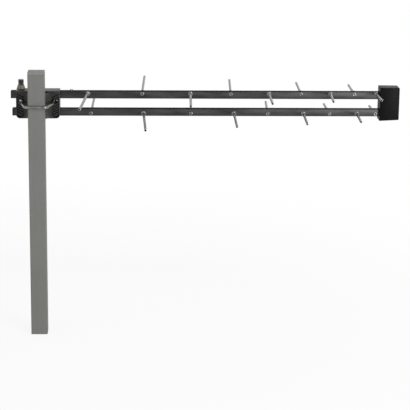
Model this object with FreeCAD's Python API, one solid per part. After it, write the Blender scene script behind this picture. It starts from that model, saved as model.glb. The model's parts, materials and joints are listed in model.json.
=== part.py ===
"""Two-boom log-periodic dipole antenna on a square mast, every piece a solid of its own.

Millimetres.  +X runs along the booms to the front, +Y from the mast to the booms, +Z up.
The origin is the centre of the mast's foot.
"""
import math
import os

import FreeCAD
import Part

from FreeCAD import Placement, Rotation, Vector

# ---------------------------------------------------------------- driving dimensions

# mast: a square tube with a push-in cap
MAST_SIDE = 27.0
MAST_WALL = 1.5
MAST_CORNER = 1.6
MAST_INNER_CORNER = 0.5
MAST_TUBE_LENGTH = 437.7
MAST_CAP_LIP = 4.3
MAST_CAP_SPIGOT = 12.0
MAST_CAP_WALL = 2.0
MAST_CAP_EDGE = 1.1

# booms: two square tubes, one above the other
MAST_PAST_CLAMP = 57.7      # of the mast's tube over the middle between the booms
BOOM_SIDE = 12.0
BOOM_WALL = 1.2
BOOM_GAP = 17.0             # between the two booms
UPPER_BOOM_REAR_X = -43.2
LOWER_BOOM_REAR_X = -41.1
PLUG_PLATE = 2.0
PLUG_SPIGOT = 8.0
PLUG_CLEARANCE = 0.1
PLUG_CHAMFER = 0.5

# dipoles: each is two tubular rods, one on each boom, pointing opposite ways
DIPOLE_COUNT = 9
BOOM_PAST_LAST_DIPOLE = 25.4
FIRST_DIPOLE_X = 82.5
SECOND_DIPOLE_X = 173.0
DIPOLE_SPACING = 78.2       # from the second dipole to the third
SPACING_RATIO = 0.882
FIRST_ROD_REACH = 159.0     # from the boom's face to the tip
REACH_RATIO = 0.886
ROD_OD = 4.0
ROD_BORE = 2.8
ROD_OFFSET = 2.0            # the rods sit this much outward of their boom's axis
ROD_HOLE_CLEARANCE = 0.05
UPPER_SPLAY_DEG = 1.2
LOWER_SPLAY_DEG = 0.0
COLLAR_OD = 8.4
COLLAR_RIM = 0.5
COLLAR_CONE = 2.0
COLLAR_STEP = 0.3           # of its neck, over the rod
RIVET_OD = 6.6
RIVET_THICKNESS = 0.8
RIVET_CROWN_OD = 5.3
RIVET_EDGE = 0.32
FLANGE_SINK = 0.5           # of the flanges' blanks, trimmed off at the boom's wall

# clamp: two moulded shells, a saddle and a bow of steel rod
SHELL_SIDE_MARGIN = 10.8    # from the bow's legs to the shells' ends
SHELL_FRONT_DEPTH = 14.0    # from the booms towards the mast
SHELL_BACK_WALL = 2.0       # behind the booms
SHELL_ROOF = 2.8            # over the upper boom
SHELL_FLOOR = 2.1           # under the lower boom
SHELL_BOTTOM_CORNER = 6.0
SHELL_EDGE = 0.8
CHANNEL_CLEARANCE = 0.05
SADDLE_DEPTH = 20.35
SADDLE_LEG_GAP = 3.0        # from the saddle's foot to the legs' axes
SADDLE_TIP_INSET = 0.5      # of its tips from the mast's sides
SADDLE_HALF_HEIGHT = 20.0
SADDLE_TIP_WIDTH = 1.4
NOTCH_DEPTH = 10.0
TOOTH_PITCH = 2.5
TOOTH_GROOVE = 2.0
TOOTH_DEPTH = 0.9
TONGUE_HALF_WIDTH = 3.0
TONGUE_DEPTH = 1.8
TONGUE_HALF_HEIGHT = 12.0
TONGUE_CLEARANCE = 0.1
RIB_PITCH = 4.0
RIB_WIDTH = 1.6
RIB_DEPTH = 0.8
RIB_SADDLE_GAP = 1.2
RIB_END_GAP = 2.0
RIB_TOP_GAP = 4.0
MAST_GAP = 0.15

BOW_ROD = 4.48
BOW_THREAD = 5.0
BOW_LEG_SPREAD = 11.5       # from the mast's side to each leg's axis
BOW_Z = 5.0                 # above the middle between the booms
BOW_STRAIGHT = 16.0         # of each leg in front of the shell, before it turns inward
BOW_CORNER_OUT = 4.5        # the front corners stand this far outside the mast
BOW_FIRST_BEND = 14.0
BOW_SECOND_BEND = 6.0
BOW_PAST_NUT = 7.0
BOW_THREAD_LENGTH = 20.0
LEG_CLEARANCE = 0.3
SLOT_EXTRA = 5.0
WASHER_OD = 10.0
WASHER_THICKNESS = 1.0
NUT_FLATS = 8.0
NUT_HEIGHT = 4.0
NUT_THREAD_CLEARANCE = 0.05
NUT_SEAT_GAP = 0.03
NUT_CHAMFER_RISE = 0.37

SCREW_SHANK = 3.0
SCREW_HEAD_OD = 5.6
SCREW_HEAD_HEIGHT = 2.2
SCREW_SLOT = 0.8
SCREW_CROWN_SHARE = 0.72    # of the head's width that is flat on top
SCREW_RIM_SHARE = 0.4       # of the head's height that is upright
SCREW_SLOT_SHARE = 0.45     # of the head's height that the slot takes
SCREW_POINT_SHARE = 0.4     # of the shank's width, both across and along its point
SHELL_SCREW_END_GAP = 0.5
SHELL_SCREW_X = 12.0
SHELL_SCREW_LENGTH = 20.0
LOCK_SCREW_X = 20.0
LOCK_SCREW_SHANK = 2.5
LOCK_SCREW_REACH = 2.2      # how far its tip stands inside the boom
TOP_SCREW_X = 54.5

# socket: a threaded coaxial socket on the clamp's top
SOCKET_THREAD_OD = 9.525
SOCKET_THREAD_LENGTH = 8.6
SOCKET_FOOT_OD = 14.8       # flush with the shells' ends
SOCKET_FOOT_RIM = 1.2
SOCKET_CONE = 6.0
SOCKET_NECK_OD = 10.0
SOCKET_BORE = 6.6
SOCKET_FIT = 0.05
SOCKET_RECESS = 0.6
SOCKET_CHAMFER = 0.6
SOCKET_COLLAR = 0.8         # of the cone's end below the thread
CONTACT_COVER = 1.0         # of the insulator over the contact
CONTACT_SLIT = 0.3
CONTACT_SLIT_SHARE = 0.6    # of the bore's depth
CONTACT_OD = 2.4
CONTACT_BORE = 1.1
CONTACT_DEPTH = 9.0

# feed line inside the upper boom
COAX_OD = 3.8
COAX_JACKET_BORE = 2.9
COAX_CORE = 0.9
COAX_FIT = 0.02
COAX_REAR_X = -21.0
COAX_FLOOR_GAP = 0.2        # over the boom's bottom wall, which keeps it clear of the rods
CORE_BEND = 2.5
CORE_LUG_GAP = 0.3          # from the braid's lug to where the core turns down

# feed end inside the front cap
SPACER_FRONT_GAP = 12.0     # from the spacer's front to the booms' front ends
SPACER_LENGTH = 6.0
LUG_THICKNESS = 0.8
LUG_LENGTH = 9.0
LUG_WIDTH = 9.0
LUG_SCREW_GAP = 0.15        # between the lugs' screws and the feed line
LUG_SCREW_SHANK = 2.5
LUG_SCREW_HEAD_OD = 3.6
LUG_SCREW_HEAD_HEIGHT = 1.4
LUG_SCREW_DEPTH = 3.5
LUG_HOLE_CLEARANCE = 0.1
BRAID_LUG_STAND = 2.4       # of its upright past the booms' front ends
CORE_LUG_PAST = 8.0

# front cap
CAP_COLLAR_GAP = 0.8        # from the last dipole's collar to the cap
CAP_LENGTH = 32.4
CAP_SIDE_ROOM = 8.0         # beside the booms
CAP_TOP_ROOM = 8.5          # over the upper boom, at the cap's rear
CAP_BOTTOM_ROOM = 6.3       # under the lower boom, at the cap's rear
CAP_TOP_DRAFT = 0.4
CAP_BOTTOM_DRAFT = 3.0
CAP_WALL = 2.0
CAP_EDGE = 1.4
CAP_PLATE = 2.4
CAP_FIT = 0.1

# ---------------------------------------------------------------- derived places

UPPER = 1
LOWER = -1
NEAR = -1
FAR = 1

# rods that stand a little out of true, by dipole and boom: how far ahead of the dipole's
# place the rod sits, and how many degrees its tip leans towards the front
ROD_STRAYS = {
    (1, UPPER): (-1.0, -2.8),
    (1, LOWER): (4.0, 0.8),
    (2, UPPER): (-2.0, 1.8),
    (2, LOWER): (0.5, 1.0),
    (3, UPPER): (0.0, -1.5),
    (3, LOWER): (0.7, 1.8),
    (4, UPPER): (-2.3, 2.1),
    (4, LOWER): (3.5, -0.7),
    (5, UPPER): (0.7, -1.2),
    (5, LOWER): (-1.0, 2.6),
    (6, UPPER): (0.0, 0.7),
    (6, LOWER): (5.0, -1.5),
    (7, UPPER): (2.4, -3.1),
    (7, LOWER): (1.0, 0.3),
    (8, LOWER): (5.4, -1.9),
    (9, LOWER): (-1.0, 0.0),
}

HALF_SIDE = BOOM_SIDE / 2
CLAMP_HEIGHT = MAST_TUBE_LENGTH - MAST_PAST_CLAMP
BOOM_PITCH = BOOM_SIDE + BOOM_GAP
SHELL_FRONT = HALF_SIDE + SHELL_FRONT_DEPTH
SHELL_REAR = HALF_SIDE + SHELL_BACK_WALL
SHELL_TOP = BOOM_GAP / 2 + BOOM_SIDE + SHELL_ROOF
SHELL_BOTTOM = BOOM_GAP / 2 + BOOM_SIDE + SHELL_FLOOR
BOOM_Y = MAST_SIDE / 2 + MAST_GAP + SADDLE_DEPTH + SHELL_FRONT
SHELL_FACE_Y = BOOM_Y - SHELL_FRONT
SHELL_BACK_Y = BOOM_Y + SHELL_REAR
SHELL_TOP_Z = CLAMP_HEIGHT + SHELL_TOP
COAX_Z = CLAMP_HEIGHT + BOOM_GAP / 2 + BOOM_WALL + COAX_FLOOR_GAP + COAX_OD / 2
LUG_SCREW_Y = COAX_OD / 2 + LUG_SCREW_GAP + LUG_SCREW_SHANK / 2
BOW_HEIGHT = CLAMP_HEIGHT + BOW_Z
BOW_LEG_HALF = MAST_SIDE / 2 + BOW_LEG_SPREAD
SHELL_HALF_WIDTH = BOW_LEG_HALF + SHELL_SIDE_MARGIN
SADDLE_BASE_HALF = BOW_LEG_HALF - SADDLE_LEG_GAP
SADDLE_TIP_HALF = MAST_SIDE / 2 - SADDLE_TIP_INSET
NOTCH_MOUTH_HALF = SADDLE_TIP_HALF - SADDLE_TIP_WIDTH
SOCKET_X = SOCKET_FOOT_OD / 2 - SHELL_HALF_WIDTH
BOW_FRONT_Y = -(MAST_SIDE / 2 + MAST_GAP + BOW_ROD / 2)
NUT_Y = SHELL_BACK_Y + WASHER_THICKNESS + NUT_SEAT_GAP
BOW_END_Y = NUT_Y + NUT_HEIGHT + BOW_PAST_NUT


def dipole_x(number):
    """Place of a dipole along the booms; the spacing shrinks towards the front."""
    if number == 1:
        return FIRST_DIPOLE_X
    gaps = [DIPOLE_SPACING * SPACING_RATIO ** step for step in range(number - 2)]
    return SECOND_DIPOLE_X + sum(gaps)


LAST_DIPOLE_X = dipole_x(DIPOLE_COUNT)
BOOM_FRONT_X = LAST_DIPOLE_X + BOOM_PAST_LAST_DIPOLE
SPACER_FRONT_X = BOOM_FRONT_X - SPACER_FRONT_GAP
CAP_REAR_X = LAST_DIPOLE_X + COLLAR_OD / 2 + CAP_COLLAR_GAP
CAP_FRONT_X = CAP_REAR_X + CAP_LENGTH
CAP_HALF_WIDTH = HALF_SIDE + CAP_SIDE_ROOM
CAP_TOP_REAR = BOOM_GAP / 2 + BOOM_SIDE + CAP_TOP_ROOM
CAP_BOTTOM_REAR = -(BOOM_GAP / 2 + BOOM_SIDE + CAP_BOTTOM_ROOM)

X_AXIS = Vector(1, 0, 0)
Y_AXIS = Vector(0, 1, 0)
Z_AXIS = Vector(0, 0, 1)


# ---------------------------------------------------------------- shapes in general

def box(x0, x1, y0, y1, z0, z1):
    """Box between two corners."""
    return Part.makeBox(x1 - x0, y1 - y0, z1 - z0, Vector(x0, y0, z0))


def rod(radius, start, direction, length):
    """Round bar from start along direction."""
    return Part.makeCylinder(radius, length, start, direction)


def tube(outer, inner, start, direction, length):
    """Round tube, given its two diameters."""
    return rod(outer / 2, start, direction, length).cut(rod(inner / 2, start, direction, length))


def turned(profile):
    """Solid of revolution about Z, from (radius, height) points."""
    points = [Vector(radius, 0, height) for radius, height in profile]
    face = Part.Face(Part.makePolygon(points + [points[0]]))
    return face.revolve(Vector(0, 0, 0), Z_AXIS, 360)


def square_bar(side, corner, z0, z1):
    """Upright square bar on the Z axis with rounded corners."""
    half = side / 2
    bar = box(-half, half, -half, half, z0, z1)
    return bar.makeFillet(corner, edges_along(bar, Z_AXIS))


def edges_along(shape, direction):
    """Straight edges parallel to direction."""
    found = []
    for edge in shape.Edges:
        if len(edge.Vertexes) != 2:
            continue
        run = edge.Vertexes[1].Point.sub(edge.Vertexes[0].Point)
        if run.Length > 0 and abs(run.normalize().dot(direction)) > 0.999:
            found.append(edge)
    return found


def prism(points, direction):
    """Solid swept from a closed outline of points along a vector."""
    return Part.Face(Part.makePolygon(points + [points[0]])).extrude(direction)


def rounded_path(points, radii):
    """Wire through points with a tangent arc of the given radius at each inner point."""
    edges = []
    start = points[0]
    for before, corner, after, radius in zip(points, points[1:], points[2:], radii):
        inward = before.sub(corner).normalize()
        outward = after.sub(corner).normalize()
        half_angle = inward.getAngle(outward) / 2
        setback = radius / math.tan(half_angle)
        first = corner + inward * setback
        last = corner + outward * setback
        to_centre = (inward + outward).normalize()
        centre = corner + to_centre * (radius / math.sin(half_angle))
        middle = centre - to_centre * radius
        edges.append(Part.LineSegment(start, first).toShape())
        edges.append(Part.Arc(first, middle, last).toShape())
        start = last
    edges.append(Part.LineSegment(start, points[-1]).toShape())
    return Part.Wire(edges)


def round_sweep(path, radius):
    """Round bar swept along a wire."""
    start = path.OrderedVertexes[0].Point
    direction = path.OrderedEdges[0].tangentAt(path.OrderedEdges[0].FirstParameter)
    section = Part.Wire(Part.makeCircle(radius, start, direction))
    return path.makePipeShell([section], True, False)


def pan_screw(shank, head_od, head_height, length, seat, direction):
    """Slotted pan-head screw, its head's underside at seat, its shank along direction."""
    point = shank * SCREW_POINT_SHARE
    body = turned([
        (0, length),
        (0, -head_height),
        (head_od / 2 * SCREW_CROWN_SHARE, -head_height),
        (head_od / 2, -head_height * SCREW_RIM_SHARE),
        (head_od / 2, 0),
        (shank / 2, 0),
        (shank / 2, length - point),
        (point / 2, length),
    ])
    half = SCREW_SLOT / 2
    slot_floor = head_height * (SCREW_SLOT_SHARE - 1)
    slot = box(-head_od, head_od, -half, half, -head_height, slot_floor)
    screw = body.cut(slot)
    screw.Placement = Placement(seat, Rotation(Z_AXIS, direction))
    return screw


def boom_z(level):
    """Height of a boom's axis."""
    return CLAMP_HEIGHT + level * BOOM_PITCH / 2


def save(name, *solids):
    """Write one node, made of one solid or of a group of separate ones."""
    pieces = [solid for shape in solids for solid in shape.Solids]
    shape = pieces[0] if len(pieces) == 1 else Part.makeCompound(pieces)
    shape.exportStep(os.path.join("parts", name + ".step"))


# ---------------------------------------------------------------- mast

def mast_tube():
    """Square tube, open at its foot."""
    outer = square_bar(MAST_SIDE, MAST_CORNER, 0, MAST_TUBE_LENGTH)
    inner = square_bar(MAST_SIDE - 2 * MAST_WALL, MAST_INNER_CORNER, -1, MAST_TUBE_LENGTH + 1)
    return outer.cut(inner)


def mast_cap():
    """Lid flush with the tube, on a hollow spigot that goes into it."""
    top = MAST_TUBE_LENGTH + MAST_CAP_LIP
    lid = square_bar(MAST_SIDE, MAST_CORNER, MAST_TUBE_LENGTH, top)
    rim = [edge for edge in lid.Edges if abs(edge.BoundBox.ZMin - top) < 0.001]
    lid = lid.makeFillet(MAST_CAP_EDGE, rim)
    side = MAST_SIDE - 2 * MAST_WALL - 2 * PLUG_CLEARANCE
    low = MAST_TUBE_LENGTH - MAST_CAP_SPIGOT
    spigot = square_bar(side, MAST_INNER_CORNER, low, MAST_TUBE_LENGTH)
    hollow = square_bar(side - 2 * MAST_CAP_WALL, MAST_INNER_CORNER, low - 1, MAST_TUBE_LENGTH)
    return lid.fuse(spigot.cut(hollow))


# ---------------------------------------------------------------- dipoles

def rod_side(number, level):
    """Side that a dipole's rod points to: neighbours on one boom alternate."""
    odd = number % 2 == 1
    return NEAR if odd == (level == UPPER) else FAR


def rod_placement(number, level):
    """Placement that takes Z to the rod's axis, from its boom's centre plane."""
    side = rod_side(number, level)
    splay = math.radians(UPPER_SPLAY_DEG if level == UPPER else LOWER_SPLAY_DEG)
    lead, lean_deg = ROD_STRAYS.get((number, level), (0.0, 0.0))
    direction = Vector(math.tan(math.radians(lean_deg)), side, level * math.tan(splay))
    centre = Vector(dipole_x(number) + lead, BOOM_Y, boom_z(level) + level * ROD_OFFSET)
    return Placement(centre, Rotation(Z_AXIS, direction))


def rod_hole(number, level):
    """Drill for one rod, through both walls of its boom."""
    reach = BOOM_SIDE
    drill = rod(ROD_OD / 2 + ROD_HOLE_CLEARANCE, Vector(0, 0, -reach), Z_AXIS, 2 * reach)
    drill.Placement = rod_placement(number, level)
    return drill


def boom_block(level, rear_x):
    """Solid bar of a boom's outer size."""
    low = boom_z(level) - HALF_SIDE
    return box(rear_x, BOOM_FRONT_X, BOOM_Y - HALF_SIDE, BOOM_Y + HALF_SIDE, low, low + BOOM_SIDE)


def dipole_rod(number, level):
    """Tube through the boom, with a flared collar on one wall and a rivet end on the other."""
    reach = FIRST_ROD_REACH * REACH_RATIO ** (number - 1)
    radius = ROD_OD / 2
    straight = rod(radius, Vector(0, 0, -HALF_SIDE - RIVET_THICKNESS), Z_AXIS,
                   BOOM_SIDE + RIVET_THICKNESS + reach)
    collar_top = HALF_SIDE + COLLAR_RIM
    collar = turned([
        (0, HALF_SIDE - FLANGE_SINK),
        (COLLAR_OD / 2, HALF_SIDE - FLANGE_SINK),
        (COLLAR_OD / 2, collar_top),
        (radius + COLLAR_STEP, collar_top + COLLAR_CONE),
        (0, collar_top + COLLAR_CONE),
    ])
    rivet = turned([
        (0, -HALF_SIDE + FLANGE_SINK),
        (0, -HALF_SIDE - RIVET_THICKNESS),
        (RIVET_CROWN_OD / 2, -HALF_SIDE - RIVET_THICKNESS),
        (RIVET_OD / 2, -HALF_SIDE - RIVET_EDGE),
        (RIVET_OD / 2, -HALF_SIDE + FLANGE_SINK),
    ])
    bore = rod(ROD_BORE / 2, Vector(0, 0, -BOOM_SIDE), Z_AXIS, 2 * BOOM_SIDE + reach)
    place = rod_placement(number, level)
    for piece in (straight, collar, rivet, bore):
        piece.Placement = place
    flanges = collar.fuse(rivet).cut(boom_block(level, UPPER_BOOM_REAR_X))
    return straight.fuse(flanges).cut(bore)


# ---------------------------------------------------------------- booms

def boom(level, rear_x):
    """Square tube drilled for its rods."""
    inner = HALF_SIDE - BOOM_WALL
    middle = boom_z(level)
    hollow = box(rear_x - 1, BOOM_FRONT_X + 1, BOOM_Y - inner, BOOM_Y + inner,
                 middle - inner, middle + inner)
    shape = boom_block(level, rear_x).cut(hollow)
    for number in range(1, DIPOLE_COUNT + 1):
        shape = shape.cut(rod_hole(number, level))
    return shape.cut(lock_screw_drill(level))


def upper_boom():
    """Upper boom, also drilled for the socket, the top screw and the braid's lug."""
    shape = boom(UPPER, UPPER_BOOM_REAR_X)
    top = boom_z(UPPER) + HALF_SIDE
    bottom = boom_z(UPPER) - HALF_SIDE
    socket = rod(SOCKET_BORE / 2, Vector(SOCKET_X, BOOM_Y, top + 1), -Z_AXIS, BOOM_WALL + 2)
    screw = rod(SCREW_SHANK / 2, Vector(TOP_SCREW_X, BOOM_Y, top + 1), -Z_AXIS, BOOM_WALL + 2)
    lug = rod(LUG_SCREW_SHANK / 2, Vector(lug_screw_x(), BOOM_Y + LUG_SCREW_Y, bottom - 1),
              Z_AXIS, BOOM_WALL + 2)
    return shape.cut(socket).cut(screw).cut(lug)


def lower_boom():
    """Lower boom, also drilled for the core's lug."""
    shape = boom(LOWER, LOWER_BOOM_REAR_X)
    top = boom_z(LOWER) + HALF_SIDE
    lug = rod(LUG_SCREW_SHANK / 2, Vector(lug_screw_x(), BOOM_Y + LUG_SCREW_Y, top + 1),
              -Z_AXIS, BOOM_WALL + 2)
    return shape.cut(lug)


def rear_plug(level, rear_x):
    """Plastic plug in a boom's rear end."""
    middle = boom_z(level)
    half = HALF_SIDE - BOOM_WALL - PLUG_CLEARANCE
    plate = box(rear_x - PLUG_PLATE, rear_x, BOOM_Y - HALF_SIDE, BOOM_Y + HALF_SIDE,
                middle - HALF_SIDE, middle + HALF_SIDE)
    plate = plate.makeChamfer(PLUG_CHAMFER, outer_face_edges(plate, rear_x - PLUG_PLATE))
    spigot = box(rear_x, rear_x + PLUG_SPIGOT, BOOM_Y - half, BOOM_Y + half,
                 middle - half, middle + half)
    return plate.fuse(spigot)


def outer_face_edges(shape, x):
    """Edges of the face that lies at x."""
    return [edge for edge in shape.Edges
            if abs(edge.BoundBox.XMin - x) < 0.001 and abs(edge.BoundBox.XMax - x) < 0.001]


def top_screw():
    """Screw in the upper boom's top that bears down on the feed line."""
    seat = Vector(TOP_SCREW_X, BOOM_Y, boom_z(UPPER) + HALF_SIDE)
    length = seat.z - (COAX_Z + COAX_OD / 2) - 2 * COAX_FIT
    return pan_screw(SCREW_SHANK, SCREW_HEAD_OD, SCREW_HEAD_HEIGHT, length, seat, -Z_AXIS)


# ---------------------------------------------------------------- clamp

def shell_block(y0, y1):
    """Outer block of a clamp shell between two planes, its lengthwise corners rounded."""
    bottom = CLAMP_HEIGHT - SHELL_BOTTOM
    block = box(-SHELL_HALF_WIDTH, SHELL_HALF_WIDTH, y0, y1, bottom, SHELL_TOP_Z)
    lower = [edge for edge in edges_along(block, Y_AXIS) if edge.BoundBox.ZMax < CLAMP_HEIGHT]
    block = block.makeFillet(SHELL_BOTTOM_CORNER, lower)
    upper = [edge for edge in edges_along(block, Y_AXIS)
             if edge.BoundBox.ZMin > SHELL_TOP_Z - SHELL_EDGE]
    return block.makeFillet(SHELL_EDGE, upper)


def boom_channels():
    """Square passages for both booms."""
    half = HALF_SIDE + CHANNEL_CLEARANCE
    width = SHELL_HALF_WIDTH + 1
    cuts = [box(-width, width, BOOM_Y - half, BOOM_Y + half, boom_z(level) - half,
                boom_z(level) + half) for level in (UPPER, LOWER)]
    return cuts[0].fuse(cuts[1])


def leg_slots():
    """Slots for the bow's legs, longer outward so that wider bows fit too."""
    radius = BOW_THREAD / 2 + LEG_CLEARANCE
    length = SHELL_FRONT + SHELL_REAR + 2
    slots = []
    for side in (-1, 1):
        inner = side * BOW_LEG_HALF
        outer = side * (BOW_LEG_HALF + SLOT_EXTRA)
        y0 = SHELL_FACE_Y - 1
        ends = [rod(radius, Vector(x, y0, BOW_HEIGHT), Y_AXIS, length) for x in (inner, outer)]
        middle = box(min(inner, outer), max(inner, outer), y0, y0 + length,
                     BOW_HEIGHT - radius, BOW_HEIGHT + radius)
        slots.append(ends[0].fuse(ends[1]).fuse(middle))
    return slots[0].fuse(slots[1])


def socket_passage():
    """Hole in the shells' top for the socket's neck."""
    radius = SOCKET_NECK_OD / 2 + SOCKET_FIT
    return rod(radius, Vector(SOCKET_X, BOOM_Y, boom_z(UPPER)), Z_AXIS, SHELL_TOP)


def shell_screw_seats():
    """Centres of the two screws' heads on the rear shell."""
    return [Vector(side * SHELL_SCREW_X, SHELL_BACK_Y, CLAMP_HEIGHT) for side in (-1, 1)]


def lock_screw_seat(level):
    """Centre of the head of the screw that locks a boom."""
    return Vector(LOCK_SCREW_X, SHELL_BACK_Y, boom_z(level))


def lock_screw_drill(level):
    """Drill for a lock screw's shank, from the rear face into the boom."""
    length = SHELL_REAR - HALF_SIDE + BOOM_WALL + 1
    return rod(LOCK_SCREW_SHANK / 2, lock_screw_seat(level) + Y_AXIS, -Y_AXIS, length + 1)


def front_ribs():
    """Shallow slanted grooves in the front face, beside the saddle."""
    grooves = []
    low = CLAMP_HEIGHT - SHELL_BOTTOM + SHELL_BOTTOM_CORNER
    high = SHELL_TOP_Z - RIB_TOP_GAP
    inner = SADDLE_BASE_HALF + RIB_SADDLE_GAP
    outer = SHELL_HALF_WIDTH - RIB_END_GAP
    for side in (-1, 1):
        height = low
        while height + RIB_WIDTH + (outer - inner) < high:
            outline = [
                Vector(side * inner, SHELL_FACE_Y, height + (outer - inner)),
                Vector(side * outer, SHELL_FACE_Y, height),
                Vector(side * outer, SHELL_FACE_Y, height + RIB_WIDTH),
                Vector(side * inner, SHELL_FACE_Y, height + (outer - inner) + RIB_WIDTH),
            ]
            grooves.append(prism(outline, Y_AXIS * RIB_DEPTH))
            height += RIB_PITCH
    return Part.makeCompound(grooves)


def clamp_front_shell():
    """Shell between the mast's saddle and the booms."""
    shell = shell_block(SHELL_FACE_Y, BOOM_Y)
    shell = shell.cut(boom_channels()).cut(leg_slots()).cut(socket_passage())
    fit = TONGUE_CLEARANCE
    groove = box(-TONGUE_HALF_WIDTH - fit, TONGUE_HALF_WIDTH + fit,
                 SHELL_FACE_Y, SHELL_FACE_Y + TONGUE_DEPTH + fit,
                 CLAMP_HEIGHT - TONGUE_HALF_HEIGHT - fit, CLAMP_HEIGHT + TONGUE_HALF_HEIGHT + fit)
    shell = shell.cut(groove).cut(front_ribs())
    for seat in shell_screw_seats():
        shell = shell.cut(rod(SCREW_SHANK / 2, seat, -Y_AXIS, SHELL_SCREW_LENGTH + SHELL_SCREW_END_GAP))
    return shell


def clamp_rear_shell():
    """Shell behind the booms; the washers and screw heads bear on it."""
    shell = shell_block(BOOM_Y, SHELL_BACK_Y)
    shell = shell.cut(boom_channels()).cut(leg_slots()).cut(socket_passage())
    for seat in shell_screw_seats():
        shell = shell.cut(rod(SCREW_SHANK / 2, seat + Y_AXIS, -Y_AXIS, SHELL_REAR + 2))
    for level in (UPPER, LOWER):
        shell = shell.cut(lock_screw_drill(level))
    return shell


def shell_screws():
    """Two screws that hold the shells together between the booms."""
    return [pan_screw(SCREW_SHANK, SCREW_HEAD_OD, SCREW_HEAD_HEIGHT, SHELL_SCREW_LENGTH,
                      seat, -Y_AXIS) for seat in shell_screw_seats()]


def lock_screws():
    """Two screws through the rear shell into the booms' walls."""
    length = SHELL_REAR - HALF_SIDE + BOOM_WALL + LOCK_SCREW_REACH - 1
    return [pan_screw(LOCK_SCREW_SHANK, SCREW_HEAD_OD, SCREW_HEAD_HEIGHT, length,
                      lock_screw_seat(level), -Y_AXIS) for level in (UPPER, LOWER)]


def mast_saddle():
    """Wedge between the shells and the mast, with a toothed vee that also takes round masts."""
    face = SHELL_FACE_Y
    tip = SHELL_FACE_Y - SADDLE_DEPTH
    low = CLAMP_HEIGHT - SADDLE_HALF_HEIGHT
    root = tip + NOTCH_DEPTH
    outline = [
        Vector(-SADDLE_BASE_HALF, face, low),
        Vector(-SADDLE_TIP_HALF, tip, low),
        Vector(-NOTCH_MOUTH_HALF, tip, low),
        Vector(0, root, low),
        Vector(NOTCH_MOUTH_HALF, tip, low),
        Vector(SADDLE_TIP_HALF, tip, low),
        Vector(SADDLE_BASE_HALF, face, low),
    ]
    wedge = prism(outline, Z_AXIS * (2 * SADDLE_HALF_HEIGHT))
    tongue = box(-TONGUE_HALF_WIDTH, TONGUE_HALF_WIDTH, face, face + TONGUE_DEPTH,
                 CLAMP_HEIGHT - TONGUE_HALF_HEIGHT, CLAMP_HEIGHT + TONGUE_HALF_HEIGHT)
    return wedge.cut(saddle_teeth(tip, root, low)).fuse(tongue)


def saddle_teeth(tip, root, low):
    """Vee grooves across the notch that leave teeth on its faces."""
    count = int(2 * SADDLE_HALF_HEIGHT / TOOTH_PITCH)
    cuts = []
    for index in range(count):
        middle = low + (index + 0.5) * TOOTH_PITCH
        cuts.append(tooth_groove(-1, tip, root, middle))
        cuts.append(tooth_groove(1, tip, root, middle))
    return Part.makeCompound(cuts)


def tooth_groove(side, tip, root, middle):
    """One three-sided groove along a face of the notch."""
    along = Vector(side * NOTCH_MOUTH_HALF, tip - root, 0)
    inward = Vector(side * NOTCH_DEPTH, NOTCH_MOUTH_HALF, 0).normalize()
    start = Vector(0, root, middle)
    half = Z_AXIS * (TOOTH_GROOVE / 2)
    outline = [start + half, start - half, start + inward * TOOTH_DEPTH]
    return prism(outline, along)


def bow():
    """Bow of steel rod round the mast, with threaded leg ends."""
    corner_x = MAST_SIDE / 2 + BOW_CORNER_OUT
    turn_y = SHELL_FACE_Y - BOW_STRAIGHT
    points = [
        Vector(-BOW_LEG_HALF, BOW_END_Y, BOW_HEIGHT),
        Vector(-BOW_LEG_HALF, turn_y, BOW_HEIGHT),
        Vector(-corner_x, BOW_FRONT_Y, BOW_HEIGHT),
        Vector(corner_x, BOW_FRONT_Y, BOW_HEIGHT),
        Vector(BOW_LEG_HALF, turn_y, BOW_HEIGHT),
        Vector(BOW_LEG_HALF, BOW_END_Y, BOW_HEIGHT),
    ]
    bends = [BOW_FIRST_BEND, BOW_SECOND_BEND, BOW_SECOND_BEND, BOW_FIRST_BEND]
    shape = round_sweep(rounded_path(points, bends), BOW_ROD / 2)
    for side in (-1, 1):
        end = Vector(side * BOW_LEG_HALF, BOW_END_Y, BOW_HEIGHT)
        shape = shape.fuse(rod(BOW_THREAD / 2, end, -Y_AXIS, BOW_THREAD_LENGTH))
    return shape


def washer(side):
    """Flat washer under a nut."""
    start = Vector(side * BOW_LEG_HALF, SHELL_BACK_Y, BOW_HEIGHT)
    hole = BOW_THREAD + 2 * LEG_CLEARANCE
    return tube(WASHER_OD, hole, start, Y_AXIS, WASHER_THICKNESS)


def nut(side):
    """Hexagon nut on a leg, its outer corners chamfered."""
    corner = NUT_FLATS / math.sqrt(3)
    points = [Vector(corner * math.cos(math.radians(angle)), corner * math.sin(math.radians(angle)), 0)
              for angle in range(0, 360, 60)]
    body = prism(points, Z_AXIS * NUT_HEIGHT)
    rim = NUT_FLATS / 2
    cone = turned([
        (0, 0),
        (rim, 0),
        (corner, NUT_CHAMFER_RISE),
        (corner, NUT_HEIGHT - NUT_CHAMFER_RISE),
        (rim, NUT_HEIGHT),
        (0, NUT_HEIGHT),
    ])
    hole = rod(BOW_THREAD / 2 + NUT_THREAD_CLEARANCE, Vector(0, 0, -1), Z_AXIS, NUT_HEIGHT + 2)
    shape = body.common(cone).cut(hole)
    seat = Vector(side * BOW_LEG_HALF, NUT_Y, BOW_HEIGHT)
    shape.Placement = Placement(seat, Rotation(Z_AXIS, Y_AXIS))
    return shape


# ---------------------------------------------------------------- socket and feed line

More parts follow.
